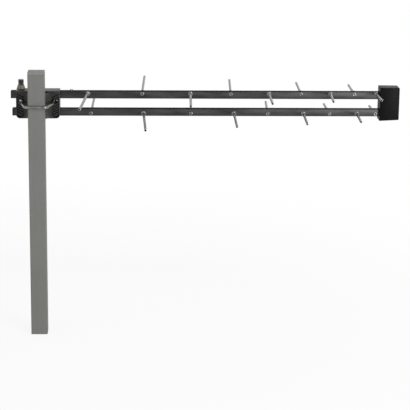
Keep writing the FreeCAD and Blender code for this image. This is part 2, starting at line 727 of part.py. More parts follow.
def socket_body():
    """Threaded barrel on a flared foot, with a neck down to the upper boom."""
    foot = SHELL_TOP_Z
    boom_top = boom_z(UPPER) + HALF_SIDE
    shoulder = foot + SOCKET_FOOT_RIM + SOCKET_CONE
    top = shoulder + SOCKET_THREAD_LENGTH
    thread = SOCKET_THREAD_OD / 2
    body = turned([
        (SOCKET_BORE / 2, boom_top),
        (SOCKET_NECK_OD / 2, boom_top),
        (SOCKET_NECK_OD / 2, foot),
        (SOCKET_FOOT_OD / 2, foot),
        (SOCKET_FOOT_OD / 2, foot + SOCKET_FOOT_RIM),
        (thread + SOCKET_CHAMFER, shoulder - SOCKET_COLLAR),
        (thread, shoulder),
        (thread, top - SOCKET_CHAMFER),
        (thread - SOCKET_CHAMFER, top),
        (SOCKET_BORE / 2, top),
    ])
    return body.translated(Vector(SOCKET_X, BOOM_Y, 0))


def socket_top():
    """Height of the socket's mouth."""
    return SHELL_TOP_Z + SOCKET_FOOT_RIM + SOCKET_CONE + SOCKET_THREAD_LENGTH


def insulator_bottom():
    """Height of the insulator's lower end, flush with the inside of the boom's top wall."""
    return boom_z(UPPER) + HALF_SIDE - BOOM_WALL


def socket_insulator():
    """Plastic sleeve between the barrel and the centre contact."""
    low = insulator_bottom()
    high = socket_top() - SOCKET_RECESS
    start = Vector(SOCKET_X, BOOM_Y, low)
    sleeve = rod(SOCKET_BORE / 2 - SOCKET_FIT, start, Z_AXIS, high - low)
    contact = rod(CONTACT_OD / 2 + SOCKET_FIT, start, Z_AXIS, high - low - CONTACT_COVER)
    mouth = rod(CONTACT_BORE / 2 + SOCKET_FIT, start, Z_AXIS, high - low)
    return sleeve.cut(contact).cut(mouth)


def socket_contact():
    """Sprung centre contact, hollow from its mouth."""
    low = insulator_bottom()
    high = socket_top() - SOCKET_RECESS - CONTACT_COVER
    start = Vector(SOCKET_X, BOOM_Y, low)
    pin = rod(CONTACT_OD / 2, start, Z_AXIS, high - low)
    bore = rod(CONTACT_BORE / 2, Vector(SOCKET_X, BOOM_Y, high), -Z_AXIS, CONTACT_DEPTH)
    half = CONTACT_SLIT / 2
    slit = box(SOCKET_X - half, SOCKET_X + half, BOOM_Y - CONTACT_OD, BOOM_Y + CONTACT_OD,
               high - CONTACT_DEPTH * CONTACT_SLIT_SHARE, high + 1)
    return pin.cut(bore).cut(slit)


def coax_front_x():
    """Front end of the coaxial line, at the braid lug's upright."""
    return BOOM_FRONT_X + BRAID_LUG_STAND


def coax_jacket():
    """Braided outer of the feed line."""
    start = Vector(COAX_REAR_X, BOOM_Y, COAX_Z)
    length = coax_front_x() - COAX_REAR_X
    return tube(COAX_OD, COAX_JACKET_BORE, start, X_AXIS, length)


def coax_dielectric():
    """Insulation between the braid and the core."""
    start = Vector(COAX_REAR_X, BOOM_Y, COAX_Z)
    length = coax_front_x() - COAX_REAR_X
    return tube(COAX_JACKET_BORE - 2 * COAX_FIT, COAX_CORE + 2 * COAX_FIT, start, X_AXIS, length)


def coax_core():
    """Inner wire, from the socket's contact to the lug on the lower boom."""
    down_x = core_down_x()
    points = [
        Vector(SOCKET_X, BOOM_Y, insulator_bottom()),
        Vector(SOCKET_X, BOOM_Y, COAX_Z),
        Vector(down_x, BOOM_Y, COAX_Z),
        Vector(down_x, BOOM_Y, boom_z(LOWER) + HALF_SIDE + LUG_THICKNESS),
    ]
    return round_sweep(rounded_path(points, [CORE_BEND, CORE_BEND]), COAX_CORE / 2)


def core_down_x():
    """Place where the core turns down to the lower boom."""
    return coax_front_x() + LUG_THICKNESS + CORE_BEND + CORE_LUG_GAP


def lug_screw_x():
    """Place of the two lugs' screws along the booms."""
    return BOOM_FRONT_X - LUG_LENGTH / 2


def lug_with_hole(x1, z0, upward):
    """Flat strip on a boom's inner face, drilled for its screw."""
    half = LUG_WIDTH / 2
    strip = box(BOOM_FRONT_X - LUG_LENGTH, x1, BOOM_Y - half, BOOM_Y + half, z0, z0 + LUG_THICKNESS)
    centre = Vector(lug_screw_x(), BOOM_Y + LUG_SCREW_Y, z0 - 1)
    hole = rod(LUG_SCREW_SHANK / 2 + LUG_HOLE_CLEARANCE, centre, upward, LUG_THICKNESS + 2)
    return strip.cut(hole)


def braid_lug():
    """Strip under the upper boom, its upright soldered to the braid at the line's end."""
    under = boom_z(UPPER) - HALF_SIDE - LUG_THICKNESS
    x1 = coax_front_x() + LUG_THICKNESS
    strip = lug_with_hole(x1, under, Z_AXIS)
    half = LUG_WIDTH / 2
    upright = box(coax_front_x(), x1, BOOM_Y - half, BOOM_Y + half,
                  under, COAX_Z + COAX_OD / 2 + LUG_THICKNESS)
    hole = rod(COAX_JACKET_BORE / 2, Vector(coax_front_x() - 1, BOOM_Y, COAX_Z), X_AXIS,
               LUG_THICKNESS + 2)
    return strip.fuse(upright).cut(hole)


def core_lug():
    """Strip on the lower boom that reaches forward to the core."""
    over = boom_z(LOWER) + HALF_SIDE
    return lug_with_hole(BOOM_FRONT_X + CORE_LUG_PAST, over, Z_AXIS)


def lug_screws():
    """Two small screws that fasten the lugs to the booms."""
    y = BOOM_Y + LUG_SCREW_Y
    under = Vector(lug_screw_x(), y, boom_z(UPPER) - HALF_SIDE - LUG_THICKNESS)
    over = Vector(lug_screw_x(), y, boom_z(LOWER) + HALF_SIDE + LUG_THICKNESS)
    return [pan_screw(LUG_SCREW_SHANK, LUG_SCREW_HEAD_OD, LUG_SCREW_HEAD_HEIGHT,
                      LUG_SCREW_DEPTH, seat, direction)
            for seat, direction in ((under, Z_AXIS), (over, -Z_AXIS))]


def boom_spacer():
    """Insulating block that keeps the booms' front ends apart."""
    low = boom_z(LOWER) + HALF_SIDE
    high = boom_z(UPPER) - HALF_SIDE
    return box(SPACER_FRONT_X - SPACER_LENGTH, SPACER_FRONT_X, BOOM_Y - HALF_SIDE,
               BOOM_Y + HALF_SIDE, low, high)


# ---------------------------------------------------------------- front cap

def cap_block(inset, rear_x):
    """Drafted block of the cap's outline, shrunk by inset all round but at its rear."""
    front = CAP_FRONT_X - inset
    top_slope = -CAP_TOP_DRAFT / CAP_LENGTH
    bottom_slope = CAP_BOTTOM_DRAFT / CAP_LENGTH

    def level(base, slope, x, shift):
        return CLAMP_HEIGHT + base + slope * (x - CAP_REAR_X) + shift

    y = BOOM_Y - CAP_HALF_WIDTH + inset
    outline = [
        Vector(rear_x, y, level(CAP_BOTTOM_REAR, bottom_slope, rear_x, inset)),
        Vector(rear_x, y, level(CAP_TOP_REAR, top_slope, rear_x, -inset)),
        Vector(front, y, level(CAP_TOP_REAR, top_slope, front, -inset)),
        Vector(front, y, level(CAP_BOTTOM_REAR, bottom_slope, front, inset)),
    ]
    return prism(outline, Y_AXIS * (2 * (CAP_HALF_WIDTH - inset)))


def cap_shell():
    """Moulded cap over the booms' front ends, open towards them."""
    outer = cap_block(0, CAP_REAR_X)
    sharp = [edge for edge in outer.Edges if edge.BoundBox.XMax > CAP_REAR_X + 0.001]
    outer = outer.makeFillet(CAP_EDGE, sharp)
    return outer.cut(cap_block(CAP_WALL, CAP_REAR_X - 1))


def cap_back_plate():
    """Plate that closes the cap round the booms."""
    plate = cap_block(CAP_WALL + CAP_FIT, CAP_REAR_X)
    keep = box(CAP_REAR_X, CAP_REAR_X + CAP_PLATE, BOOM_Y - 2 * CAP_HALF_WIDTH,
               BOOM_Y + 2 * CAP_HALF_WIDTH, 0, 2 * CLAMP_HEIGHT)
    half = HALF_SIDE + CHANNEL_CLEARANCE
    plate = plate.common(keep)
    for level in (UPPER, LOWER):
        middle = boom_z(level)
        plate = plate.cut(box(CAP_REAR_X - 1, CAP_REAR_X + CAP_PLATE + 1, BOOM_Y - half,
                              BOOM_Y + half, middle - half, middle + half))
    return plate


# ---------------------------------------------------------------- all nodes

def main():
    """Write every node."""
    os.makedirs("parts", exist_ok=True)
    save("mast_tube", mast_tube())
    save("mast_cap", mast_cap())
    save("upper_boom", upper_boom())
    save("lower_boom", lower_boom())
    save("upper_rear_plug", rear_plug(UPPER, UPPER_BOOM_REAR_X))
    save("lower_rear_plug", rear_plug(LOWER, LOWER_BOOM_REAR_X))
    for number in range(1, DIPOLE_COUNT + 1):
        save("dipole_%d_upper_rod" % number, dipole_rod(number, UPPER))
        save("dipole_%d_lower_rod" % number, dipole_rod(number, LOWER))
    save("boom_top_screw", top_screw())
    save("clamp_front_shell", clamp_front_shell())
    save("clamp_rear_shell", clamp_rear_shell())
    save("shell_screws", *shell_screws())
    save("boom_lock_screws", *lock_screws())
    save("mast_saddle", mast_saddle())
    save("clamp_bow", bow())
    save("left_washer", washer(-1))
    save("right_washer", washer(1))
    save("left_nut", nut(-1))
    save("right_nut", nut(1))
    save("socket_body", socket_body())
    save("socket_insulator", socket_insulator())
    save("socket_contact", socket_contact())
    save("coax_jacket", coax_jacket())
    save("coax_dielectric", coax_dielectric())
    save("coax_core", coax_core())
    save("braid_lug", braid_lug())
    save("core_lug", core_lug())
    save("lug_screws", *lug_screws())
    save("boom_spacer", boom_spacer())
    save("cap_shell", cap_shell())
    save("cap_back_plate", cap_back_plate())


main()
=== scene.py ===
"""Looks of a two-boom log-periodic antenna on a square mast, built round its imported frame.

Every length is in metres, in the frame's own axes: +X along the booms to the front cap,
+Y from the mast to the booms, +Z up the mast.
"""

import json
import logging
import math
from dataclasses import dataclass
from enum import Enum
from typing import Callable, Dict, List, Optional, Sequence, Tuple, Union

import bpy
from mathutils import Matrix, Vector


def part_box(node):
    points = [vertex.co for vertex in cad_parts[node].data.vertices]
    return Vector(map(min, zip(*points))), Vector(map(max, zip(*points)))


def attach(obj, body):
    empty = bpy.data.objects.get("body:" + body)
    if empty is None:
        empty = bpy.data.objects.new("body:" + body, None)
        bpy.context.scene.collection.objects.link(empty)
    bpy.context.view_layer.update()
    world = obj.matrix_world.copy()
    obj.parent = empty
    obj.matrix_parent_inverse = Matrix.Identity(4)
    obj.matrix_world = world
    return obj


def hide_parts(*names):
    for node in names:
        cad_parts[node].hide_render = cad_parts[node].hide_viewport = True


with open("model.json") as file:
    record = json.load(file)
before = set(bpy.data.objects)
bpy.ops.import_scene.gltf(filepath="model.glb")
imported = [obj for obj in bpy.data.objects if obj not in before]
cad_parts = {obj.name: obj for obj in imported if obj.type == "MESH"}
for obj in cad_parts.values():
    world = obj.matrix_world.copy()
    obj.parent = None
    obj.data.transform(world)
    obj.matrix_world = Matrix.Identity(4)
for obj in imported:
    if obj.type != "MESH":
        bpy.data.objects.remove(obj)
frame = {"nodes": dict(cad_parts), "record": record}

LOG = logging.getLogger("antenna")
MM = 0.001

WHITE = (1.0, 1.0, 1.0)
EVEN = (1.0, 1.0, 1.0)
# Points nearer than WELD are merged, and places nearer than NEARLY count as the same.
WELD = 1e-6
NEARLY = 1e-5
# A face looks along an axis when its normal reaches this far along it.
FACING = 0.99
# How far a cutter stands out of what it cuts.
OVER = 1.0 * MM
# Left and right of the mast's middle.
SIDES = (-1.0, 1.0)

Point = Tuple[float, float, float]
Colour = Tuple[float, float, float]
Range = Tuple[float, float]
Station = Tuple[float, float]
Outline = Sequence[Station]
Ripple = Callable[[float, float], float]
Test = Callable[[Vector, Vector], bool]
Piece = bpy.types.Object
Socket = bpy.types.NodeSocket


class Level(Enum):
    """The two booms, by height."""

    UPPER = 1
    LOWER = -1

    @property
    def word(self) -> str:
        """The level's word in node names."""
        return self.name.lower()


class Body(Enum):
    """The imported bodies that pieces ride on."""

    MAST = "mast"
    ANTENNA = "antenna"
    BOW = "bow"
    LEFT_NUT = "left_nut_body"
    RIGHT_NUT = "right_nut_body"


class Slot(Enum):
    """The record's material slots."""

    MAST_PAINT = "mast_paint"
    MAST_CAP = "mast_cap_plastic"
    BLACK = "black_plastic"
    CAP = "cap_plastic"
    SADDLE = "saddle_plastic"
    PLUG = "plug_plastic"
    SPACER = "spacer_plastic"
    INSULATION = "white_insulation"
    BOOM = "boom_aluminium"
    ROD = "rod_aluminium"
    ZINC = "zinc_steel"
    SOCKET = "socket_metal"
    BRASS = "contact_brass"
    COPPER = "copper"
    BRAID = "tinned_braid"


class Axis(Enum):
    """The frame's axes, by their place in a vector."""

    X = 0
    Y = 1
    Z = 2

    @property
    def vector(self) -> Vector:
        """The axis as a unit vector."""
        return Vector([float(index == self.value) for index in range(3)])


# ---------------------------------------------------------------- node boards


class NodeBoard:
    """A material's node tree, with short calls to add and join nodes."""

    def __init__(self, name: str) -> None:
        """Start a material with its shader and output.

        Args:
            name: the material's name.
        """
        self.material = bpy.data.materials.new(name)
        self.material.use_nodes = True
        self.tree = self.material.node_tree
        self.shader = self.tree.nodes["Principled BSDF"]

    def add(self, kind: str, **settings: object) -> bpy.types.Node:
        """Add a node.

        Args:
            kind: the node's type without its ShaderNode prefix.
            settings: properties of the node to set.

        Returns:
            The new node.
        """
        node = self.tree.nodes.new("ShaderNode" + kind)
        for key, value in settings.items():
            setattr(node, key, value)
        return node

    def join(self, source: Socket, target: Socket) -> None:
        """Link one socket to another."""
        self.tree.links.new(source, target)

    def place(self, scale: Point = EVEN) -> Socket:
        """Object coordinates, scaled.

        Args:
            scale: factor along each axis.

        Returns:
            The mapped vector's socket.
        """
        source = self.add("TexCoord")
        mapping = self.add("Mapping")
        mapping.inputs["Scale"].default_value = scale
        self.join(source.outputs["Object"], mapping.inputs["Vector"])
        return mapping.outputs["Vector"]

    def noise(self, scale: float, detail: float = 4.0, stretch: Point = EVEN,
              rough: float = 0.5) -> Socket:
        """Noise on Object coordinates.

        Args:
            scale: features to the metre.
            detail: octaves.
            stretch: factor along each axis.
            rough: roughness of the octaves.

        Returns:
            The noise's value socket.
        """
        node = self.add("TexNoise")
        node.inputs["Scale"].default_value = scale
        node.inputs["Detail"].default_value = detail
        node.inputs["Roughness"].default_value = rough
        self.join(self.place(stretch), node.inputs["Vector"])
        return node.outputs["Fac"]

    def remap(self, value: Socket, source: Range, target: Range) -> Socket:
        """Linear change of range, clamped.

        Args:
            value: the socket to change.
            source: the range it comes in.
            target: the range it leaves in.

        Returns:
            The result's socket.
        """
        node = self.add("MapRange", clamp=True)
        node.inputs["From Min"].default_value = source[0]
        node.inputs["From Max"].default_value = source[1]
        node.inputs["To Min"].default_value = target[0]
        node.inputs["To Max"].default_value = target[1]
        self.join(value, node.inputs["Value"])
        return node.outputs["Result"]

    def math(self, operation: str, first: Socket, second: Union[float, Socket] = 0.0) -> Socket:
        """Arithmetic on one socket and a number or another socket.

        Args:
            operation: the Math node's operation.
            first: the first operand.
            second: a number or a socket.

        Returns:
            The result's socket.
        """
        node = self.add("Math", operation=operation)
        self.join(first, node.inputs[0])
        if isinstance(second, Socket):
            self.join(second, node.inputs[1])
        else:
            node.inputs[1].default_value = second
        return node.outputs["Value"]

    def weigh(self, first: Socket, second: Socket, share: float) -> Socket:
        """Lay two patterns over each other.

        Args:
            first: one pattern.
            second: the other.
            share: the first one's share; the second has the rest.

        Returns:
            The sum's socket.
        """
        rest = self.math("MULTIPLY", second, 1.0 - share)
        return self.math("ADD", self.math("MULTIPLY", first, share), rest)

    def seen(self) -> Socket:
        """1 for a camera, glossy or transmission ray, and 0 for any other."""
        path = self.add("LightPath")
        either = self.math("MAXIMUM", path.outputs["Is Camera Ray"], path.outputs["Is Glossy Ray"])
        return self.math("MAXIMUM", either, path.outputs["Is Transmission Ray"])

    def blend(self, factor: Socket, first: Union[Colour, Socket], second: Union[Colour, Socket],
              how: str = "MIX") -> Socket:
        """Mix two colours by a factor.

        Args:
            factor: 0 gives the first colour, 1 the second.
            first: the first colour, or its socket.
            second: the second colour, or its socket.
            how: the Mix node's blend type.

        Returns:
            The colour's socket.
        """
        node = self.add("Mix", data_type="RGBA", blend_type=how)
        lanes = [item for item in node.inputs if item.type == "RGBA"]
        for lane, colour in zip(lanes, (first, second)):
            if isinstance(colour, Socket):
                self.join(colour, lane)
            else:
                lane.default_value = (*colour, 1.0)
        self.join(factor, node.inputs["Factor"])
        return next(item for item in node.outputs if item.type == "RGBA")

    def relief(self, height: Socket, depth: float, strength: float) -> Socket:
        """Bump from a height.

        Args:
            height: the height, 0 to 1.
            depth: what a height of 1 stands for, in metres.
            strength: share of the bump that shows.

        Returns:
            The normal's socket.
        """
        node = self.add("Bump")
        node.inputs["Distance"].default_value = depth
        node.inputs["Strength"].default_value = strength
        self.join(height, node.inputs["Height"])
        return node.outputs["Normal"]

    def set(self, **values: object) -> None:
        """Set constant values on the shader's own sockets, named with _ for a space."""
        for key, value in values.items():
            self.shader.inputs[key.replace("_", " ")].default_value = value

    def feed(self, **sockets: Socket) -> None:
        """Join sockets to the shader's, named with _ for a space."""
        for key, socket in sockets.items():
            self.join(socket, self.shader.inputs[key.replace("_", " ")])


class SkyBoard(NodeBoard):
    """The world's node tree, with the same short calls."""

    def __init__(self, name: str) -> None:
        """Start a world with its background.

        Args:
            name: the world's name.
        """
        self.world = bpy.data.worlds.new(name)
        self.world.use_nodes = True
        self.tree = self.world.node_tree
        self.shader = self.tree.nodes["Background"]


def shade(colour: Colour, factor: float) -> Colour:
    """The colour made lighter or darker."""
    return tuple(min(1.0, part * factor) for part in colour)


# ---------------------------------------------------------------- finishes


@dataclass(frozen=True)
class Paint:
    """Sprayed paint on steel, with orange peel and faint runs down the mast."""

    slot: Slot
    colour: Colour
    roughness: float = 0.52
    cloud_share: float = 0.6
    peel: float = 0.05

    def make(self) -> bpy.types.Material:
        """Build the material."""
        board = NodeBoard(self.slot.value)
        clouds = board.noise(scale=14.0, detail=3.0)
        runs = board.noise(scale=160.0, detail=3.0, stretch=(1.0, 1.0, 0.04))
        tone = board.weigh(clouds, runs, self.cloud_share)
        colour = board.blend(board.remap(tone, (0.35, 0.65), (0.0, 1.0)),
                             shade(self.colour, 0.95), shade(self.colour, 1.05))
        dust = board.remap(board.noise(scale=1900.0, detail=2.0), (0.70, 0.76), (0.0, 1.0))
        board.feed(
            Base_Color=board.blend(dust, colour, shade(self.colour, 1.35)),
            Roughness=board.remap(clouds, (0.3, 0.7), (self.roughness - 0.05, self.roughness + 0.06)),
            Normal=board.relief(board.noise(scale=620.0, detail=2.0), self.peel * MM, 0.5),
        )
        board.set(Metallic=0.0, Specular_IOR_Level=0.28)
        return board.material


@dataclass(frozen=True)
class Plastic:
    """Moulded plastic with a spark-eroded grain, faint flow marks and a little dust."""

    slot: Slot
    colour: Colour
    roughness: float = 0.42
    grain: float = 0.035
    specular: float = 0.25

    def make(self) -> bpy.types.Material:
        """Build the material."""
        board = NodeBoard(self.slot.value)
        flow = board.noise(scale=45.0, detail=3.0, stretch=(1.0, 1.0, 0.35))
        rubbed = board.noise(scale=420.0, detail=5.0, rough=0.65)
        mixed = board.weigh(flow, rubbed, 0.5)
        board.feed(
            Base_Color=board.blend(board.remap(mixed, (0.4, 0.62), (0.0, 1.0)),
                                   shade(self.colour, 0.8), shade(self.colour, 1.35)),
            Roughness=board.remap(mixed, (0.35, 0.65), (self.roughness - 0.07, self.roughness + 0.1)),
            Normal=board.relief(board.noise(scale=2600.0, detail=2.0), self.grain * MM, 0.6),
        )
        board.set(Metallic=0.0, Specular_IOR_Level=self.specular)
        return board.material


@dataclass(frozen=True)
class DrawnMetal:
    """Metal with die lines along one axis, patches of oxide and small scratches."""

    slot: Slot
    colour: Colour
    stretch: Point
    roughness: float = 0.35
    lines: float = 1400.0
    depth: float = 0.02
    mottle: float = 0.16
    edge_tint: float = 0.5
    die_share: float = 0.25

    def make(self) -> bpy.types.Material:
        """Build the material."""
        board = NodeBoard(self.slot.value)
        softer = tuple(part ** 0.35 for part in self.stretch)
        die = board.noise(scale=self.lines, stretch=self.stretch, rough=0.6)
        oxide = board.noise(scale=120.0, stretch=softer, rough=0.55)
        spots = board.remap(board.noise(scale=700.0, detail=2.0), (0.66, 0.74), (0.0, 0.6))
        tone = board.weigh(die, oxide, self.die_share)
        tone = board.math("SUBTRACT", tone, board.math("MULTIPLY", spots, 0.2))
        colour = board.blend(board.remap(tone, (0.38, 0.62), (0.0, 1.0)),
                             shade(self.colour, 1.0 - self.mottle),
                             shade(self.colour, 1.0 + self.mottle))
        board.feed(
            # Painted shade hook: only the rods darken here, at collar and rivet.
            Base_Color=self.add_painted_shade(board, colour),
            Roughness=board.remap(oxide, (0.3, 0.7), (self.roughness - 0.06, self.roughness + 0.1)),
            Normal=board.relief(die, self.depth * MM, 0.7),
        )
        board.set(Metallic=1.0, Specular_Tint=(*shade(WHITE, self.edge_tint), 1.0))
        return board.material

    def add_painted_shade(self, board: NodeBoard, colour: Socket) -> Socket:
        """The colour as it is, with no painted shade, for metal that is alike all over."""
        return colour


@dataclass(frozen=True)
class RodMetal(DrawnMetal):
    """Drawn tube, with painted shade on its collar and rivet where it passes through its boom."""

    middle: float = 54.0 * MM
    # Reach and tint of the painted shade round the boom's middle.
    painted_shade_half: float = 6.7 * MM
    painted_shade_end: float = 8.6 * MM
    painted_shade_tint: Colour = (0.36, 0.36, 0.35)

    def add_painted_shade(self, board: NodeBoard, colour: Socket) -> Socket:
        """Paint shade onto the collar and the rivet: darker near the boom, broken up by noise.

        Args:
            board: the material's board.
            colour: the metal's colour before its painted shade.

        Returns:
            The colour with its painted shade.
        """
        parts = board.add("SeparateXYZ")
        board.join(board.place(), parts.inputs[0])
        away = board.math("ABSOLUTE", board.math("SUBTRACT", parts.outputs["Y"], self.middle))
        near = board.remap(away, (self.painted_shade_half, self.painted_shade_end), (1.0, 0.0))
        patchy = board.remap(board.noise(scale=900.0, detail=3.0), (0.36, 0.56), (0.72, 1.0))
        # Painted shade: the colour is multiplied down near the boom, patchy by noise.
        return board.blend(board.math("MULTIPLY", near, patchy), colour, self.painted_shade_tint, "MULTIPLY")


@dataclass(frozen=True)
class Plated:
    """Plated steel or brass: fine grain, cloudy tint and dull spots."""

    slot: Slot
    colour: Colour
    tint: Colour
    roughness: float = 0.3
    grain: float = 0.012

    def make(self) -> bpy.types.Material:
        """Build the material."""
        board = NodeBoard(self.slot.value)
        clouds = board.noise(scale=180.0, rough=0.6)
        board.feed(
            Base_Color=board.blend(board.remap(clouds, (0.38, 0.64), (0.0, 1.0)),
                                   self.colour, self.tint),
            Roughness=board.remap(clouds, (0.3, 0.7), (self.roughness - 0.07, self.roughness + 0.12)),
            Normal=board.relief(board.noise(scale=3200.0, detail=2.0), self.grain * MM, 0.6),
        )
        board.set(Metallic=1.0)
        return board.material


@dataclass(frozen=True)
class Braid:
    """Tinned braid: two families of strands that cross, with painted shade in the gaps between them."""

    slot: Slot
    colour: Colour
    strands: float = 600.0
    depth: float = 0.12

    def make(self) -> bpy.types.Material:
        """Build the material."""
        board = NodeBoard(self.slot.value)
        waves = []
        for tilt in (1.0, -1.0):
            wave = board.add("TexWave", bands_direction="DIAGONAL")
            wave.inputs["Scale"].default_value = self.strands
            wave.inputs["Distortion"].default_value = 0.4
            board.join(board.place((1.0, tilt, tilt)), wave.inputs["Vector"])
            waves.append(wave.outputs["Fac"])
        weave = board.math("MAXIMUM", waves[0], waves[1])
        board.feed(
            # Painted shade: the colour darkens where the weave is low, between the strands.
            Base_Color=board.blend(weave, shade(self.colour, 0.45), self.colour),
            Normal=board.relief(weave, self.depth * MM, 0.8),
        )
        board.set(Metallic=1.0, Roughness=0.4)
        return board.material


# The depths of grain, peel, die lines and braid are in millimetres.
FINISHES = (
    Paint(Slot.MAST_PAINT, (0.142, 0.145, 0.132)),
    Plastic(Slot.MAST_CAP, (0.178, 0.180, 0.165), roughness=0.5, grain=0.02, specular=0.28),
    Plastic(Slot.BLACK, (0.0075, 0.0075, 0.0075), roughness=0.36, grain=0.03, specular=0.45),
    Plastic(Slot.CAP, (0.0028, 0.0028, 0.0030), roughness=0.46, grain=0.02, specular=0.07),
    # Saddle is lighter than the black shells, raised to match the light on its slope beside the mast:
    # partly its own plastic, partly painted light.
    Plastic(Slot.SADDLE, (0.036, 0.037, 0.033), roughness=0.48),
    Plastic(Slot.PLUG, (0.008, 0.008, 0.008), roughness=0.5),
    Plastic(Slot.SPACER, (0.55, 0.54, 0.48), roughness=0.5),
    Plastic(Slot.INSULATION, (0.72, 0.71, 0.65), roughness=0.5, grain=0.01, specular=0.4),
    DrawnMetal(Slot.BOOM, (0.0415, 0.0415, 0.042), stretch=(0.012, 1.0, 1.0), roughness=0.36,
               lines=1400.0, depth=0.006, mottle=0.22, edge_tint=0.3),
    RodMetal(Slot.ROD, (0.36, 0.355, 0.34), stretch=(1.0, 0.02, 1.0), roughness=0.27,
             lines=1800.0, depth=0.012, mottle=0.10, edge_tint=0.6),
    Plated(Slot.ZINC, (0.15, 0.15, 0.145), tint=(0.24, 0.235, 0.22), roughness=0.24),
    Plated(Slot.SOCKET, (0.105, 0.099, 0.082), tint=(0.17, 0.16, 0.135)),
    Plated(Slot.BRASS, (0.55, 0.40, 0.17), tint=(0.68, 0.53, 0.27)),
    Plated(Slot.COPPER, (0.62, 0.27, 0.14), tint=(0.74, 0.38, 0.22)),
    Braid(Slot.BRAID, (0.55, 0.55, 0.53)),
)
Finishes = Dict[Slot, bpy.types.Material]


# ---------------------------------------------------------------- bench


class Workbench:
    """Hand tools: each adds or shapes a mesh with Blender's own operators."""

    @staticmethod
    def clear() -> None:
        """Leave edit mode and deselect everything."""
        if bpy.context.mode != "OBJECT":
            bpy.ops.object.mode_set(mode="OBJECT")
        bpy.ops.object.select_all(action="DESELECT")

    @staticmethod
    def take(piece: Piece) -> None:
        """Make a piece the only one selected, and the active one."""
        Workbench.clear()
        piece.select_set(True)
        bpy.context.view_layer.objects.active = piece

    @staticmethod
    def settle(piece: Piece) -> None:
        """Put a piece's place, turn and scale into its mesh."""
        Workbench.take(piece)
        bpy.ops.object.transform_apply(location=True, rotation=True, scale=True)

    @staticmethod
    def stand(piece: Piece, at: Vector, along: Vector) -> None:
        """Move a piece made about Z so that its Z runs another way.

        Args:
            piece: the piece, made at the origin.
            at: where its origin goes.
            along: where its Z points.
        """
        piece.matrix_world = Matrix.Translation(at) @ along.to_track_quat("Z", "Y").to_matrix().to_4x4()
        Workbench.settle(piece)

    @staticmethod
    def block(name: str, low: Vector, high: Vector) -> Piece:
        """A cuboid between two corners, ready to be shaped.

        Args:
            name: the piece's name.
            low: the lowest corner.
            high: the highest corner.

        Returns:
            The new piece.
        """
        Workbench.clear()
        bpy.ops.mesh.primitive_cube_add(size=1.0, location=(low + high) / 2, scale=high - low)
        piece = bpy.context.active_object
        piece.name = name
        Workbench.settle(piece)
        return piece

    @staticmethod
    def turned(name: str, stations: Sequence[Station], sides: int = 32,
               ripple: Optional[Ripple] = None) -> Piece:
        """A solid of revolution about Z, extruded ring by ring.

        Args:
            name: the piece's name.
            stations: height and radius of each ring; a ring of radius 0 closes an end, and a
                last ring equal to the first closes a bored solid.
            sides: vertices to a ring.
            ripple: radius to add, by height and angle.

        Returns:
            The new piece.
        """
        Workbench.clear()
        bpy.ops.mesh.primitive_circle_add(vertices=sides, radius=1.0, fill_type="NOTHING")
        piece = bpy.context.active_object
        piece.name = name
        bpy.ops.object.mode_set(mode="EDIT")
        bpy.ops.mesh.select_mode(type="VERT")
        bpy.ops.mesh.select_all(action="SELECT")
        for _ in stations[1:]:
            bpy.ops.mesh.extrude_region_move(TRANSFORM_OT_translate={"value": (0.0, 0.0, 1.0)})
        bpy.ops.object.mode_set(mode="OBJECT")
        for vertex in piece.data.vertices:
            height, radius = stations[round(vertex.co.z)]
            angle = math.atan2(vertex.co.y, vertex.co.x)
            if ripple is not None and radius > 0.0:
                radius += ripple(height, angle)
            vertex.co = (radius * math.cos(angle), radius * math.sin(angle), height)
        Workbench.weld(piece)
        return piece

    @staticmethod
    def weld(piece: Piece) -> None:
        """Merge doubled points and turn every face outwards."""
        Workbench.take(piece)
        bpy.ops.object.mode_set(mode="EDIT")
        bpy.ops.mesh.select_mode(type="VERT")
        bpy.ops.mesh.select_all(action="SELECT")
        bpy.ops.mesh.remove_doubles(threshold=WELD)
        bpy.ops.mesh.normals_make_consistent(inside=False)
        bpy.ops.object.mode_set(mode="OBJECT")

    @staticmethod
    def pick(piece: Piece, kind: str, test: Test) -> None:
        """Enter edit mode with only some vertices, edges or faces selected.

        Args:
            piece: the piece to shape.
            kind: VERT, EDGE or FACE.
            test: says yes to a vertex's place (twice), an edge's two ends, or a face's centre
                and normal.
        """
        Workbench.take(piece)
        bpy.ops.object.mode_set(mode="EDIT")
        bpy.ops.mesh.select_mode(type=kind)
        bpy.ops.mesh.select_all(action="DESELECT")
        bpy.ops.object.mode_set(mode="OBJECT")
        mesh = piece.data
        places = [vertex.co.copy() for vertex in mesh.vertices]
        if kind == "VERT":
            for vertex, place in zip(mesh.vertices, places):
                vertex.select = test(place, place)
        elif kind == "EDGE":
            for edge in mesh.edges:
                edge.select = test(places[edge.vertices[0]], places[edge.vertices[1]])
        else:
            for face in mesh.polygons:
                face.select = test(face.center, face.normal)
        bpy.ops.object.mode_set(mode="EDIT")

    @staticmethod
    def shift(piece: Piece, test: Test, by: Point) -> None:
        """Move some vertices.

        Args:
            piece: the piece to shape.
            test: says yes to a vertex's place.
            by: how far they move.
        """
        Workbench.pick(piece, "VERT", test)
        bpy.ops.transform.translate(value=by)
        Workbench.clear()

    @staticmethod
    def round_off(piece: Piece, test: Test, width: float,
                  segments: int = 3) -> None:
        """Bevel some edges.

        Args:
            piece: the piece to shape.
            test: says yes to an edge's two ends.
            width: how far the bevel reaches along each face.
            segments: facets of the rounding; 1 is a chamfer.
        """
        Workbench.pick(piece, "EDGE", test)
        bpy.ops.mesh.bevel(offset=width, segments=segments, affect="EDGES")
        Workbench.clear()

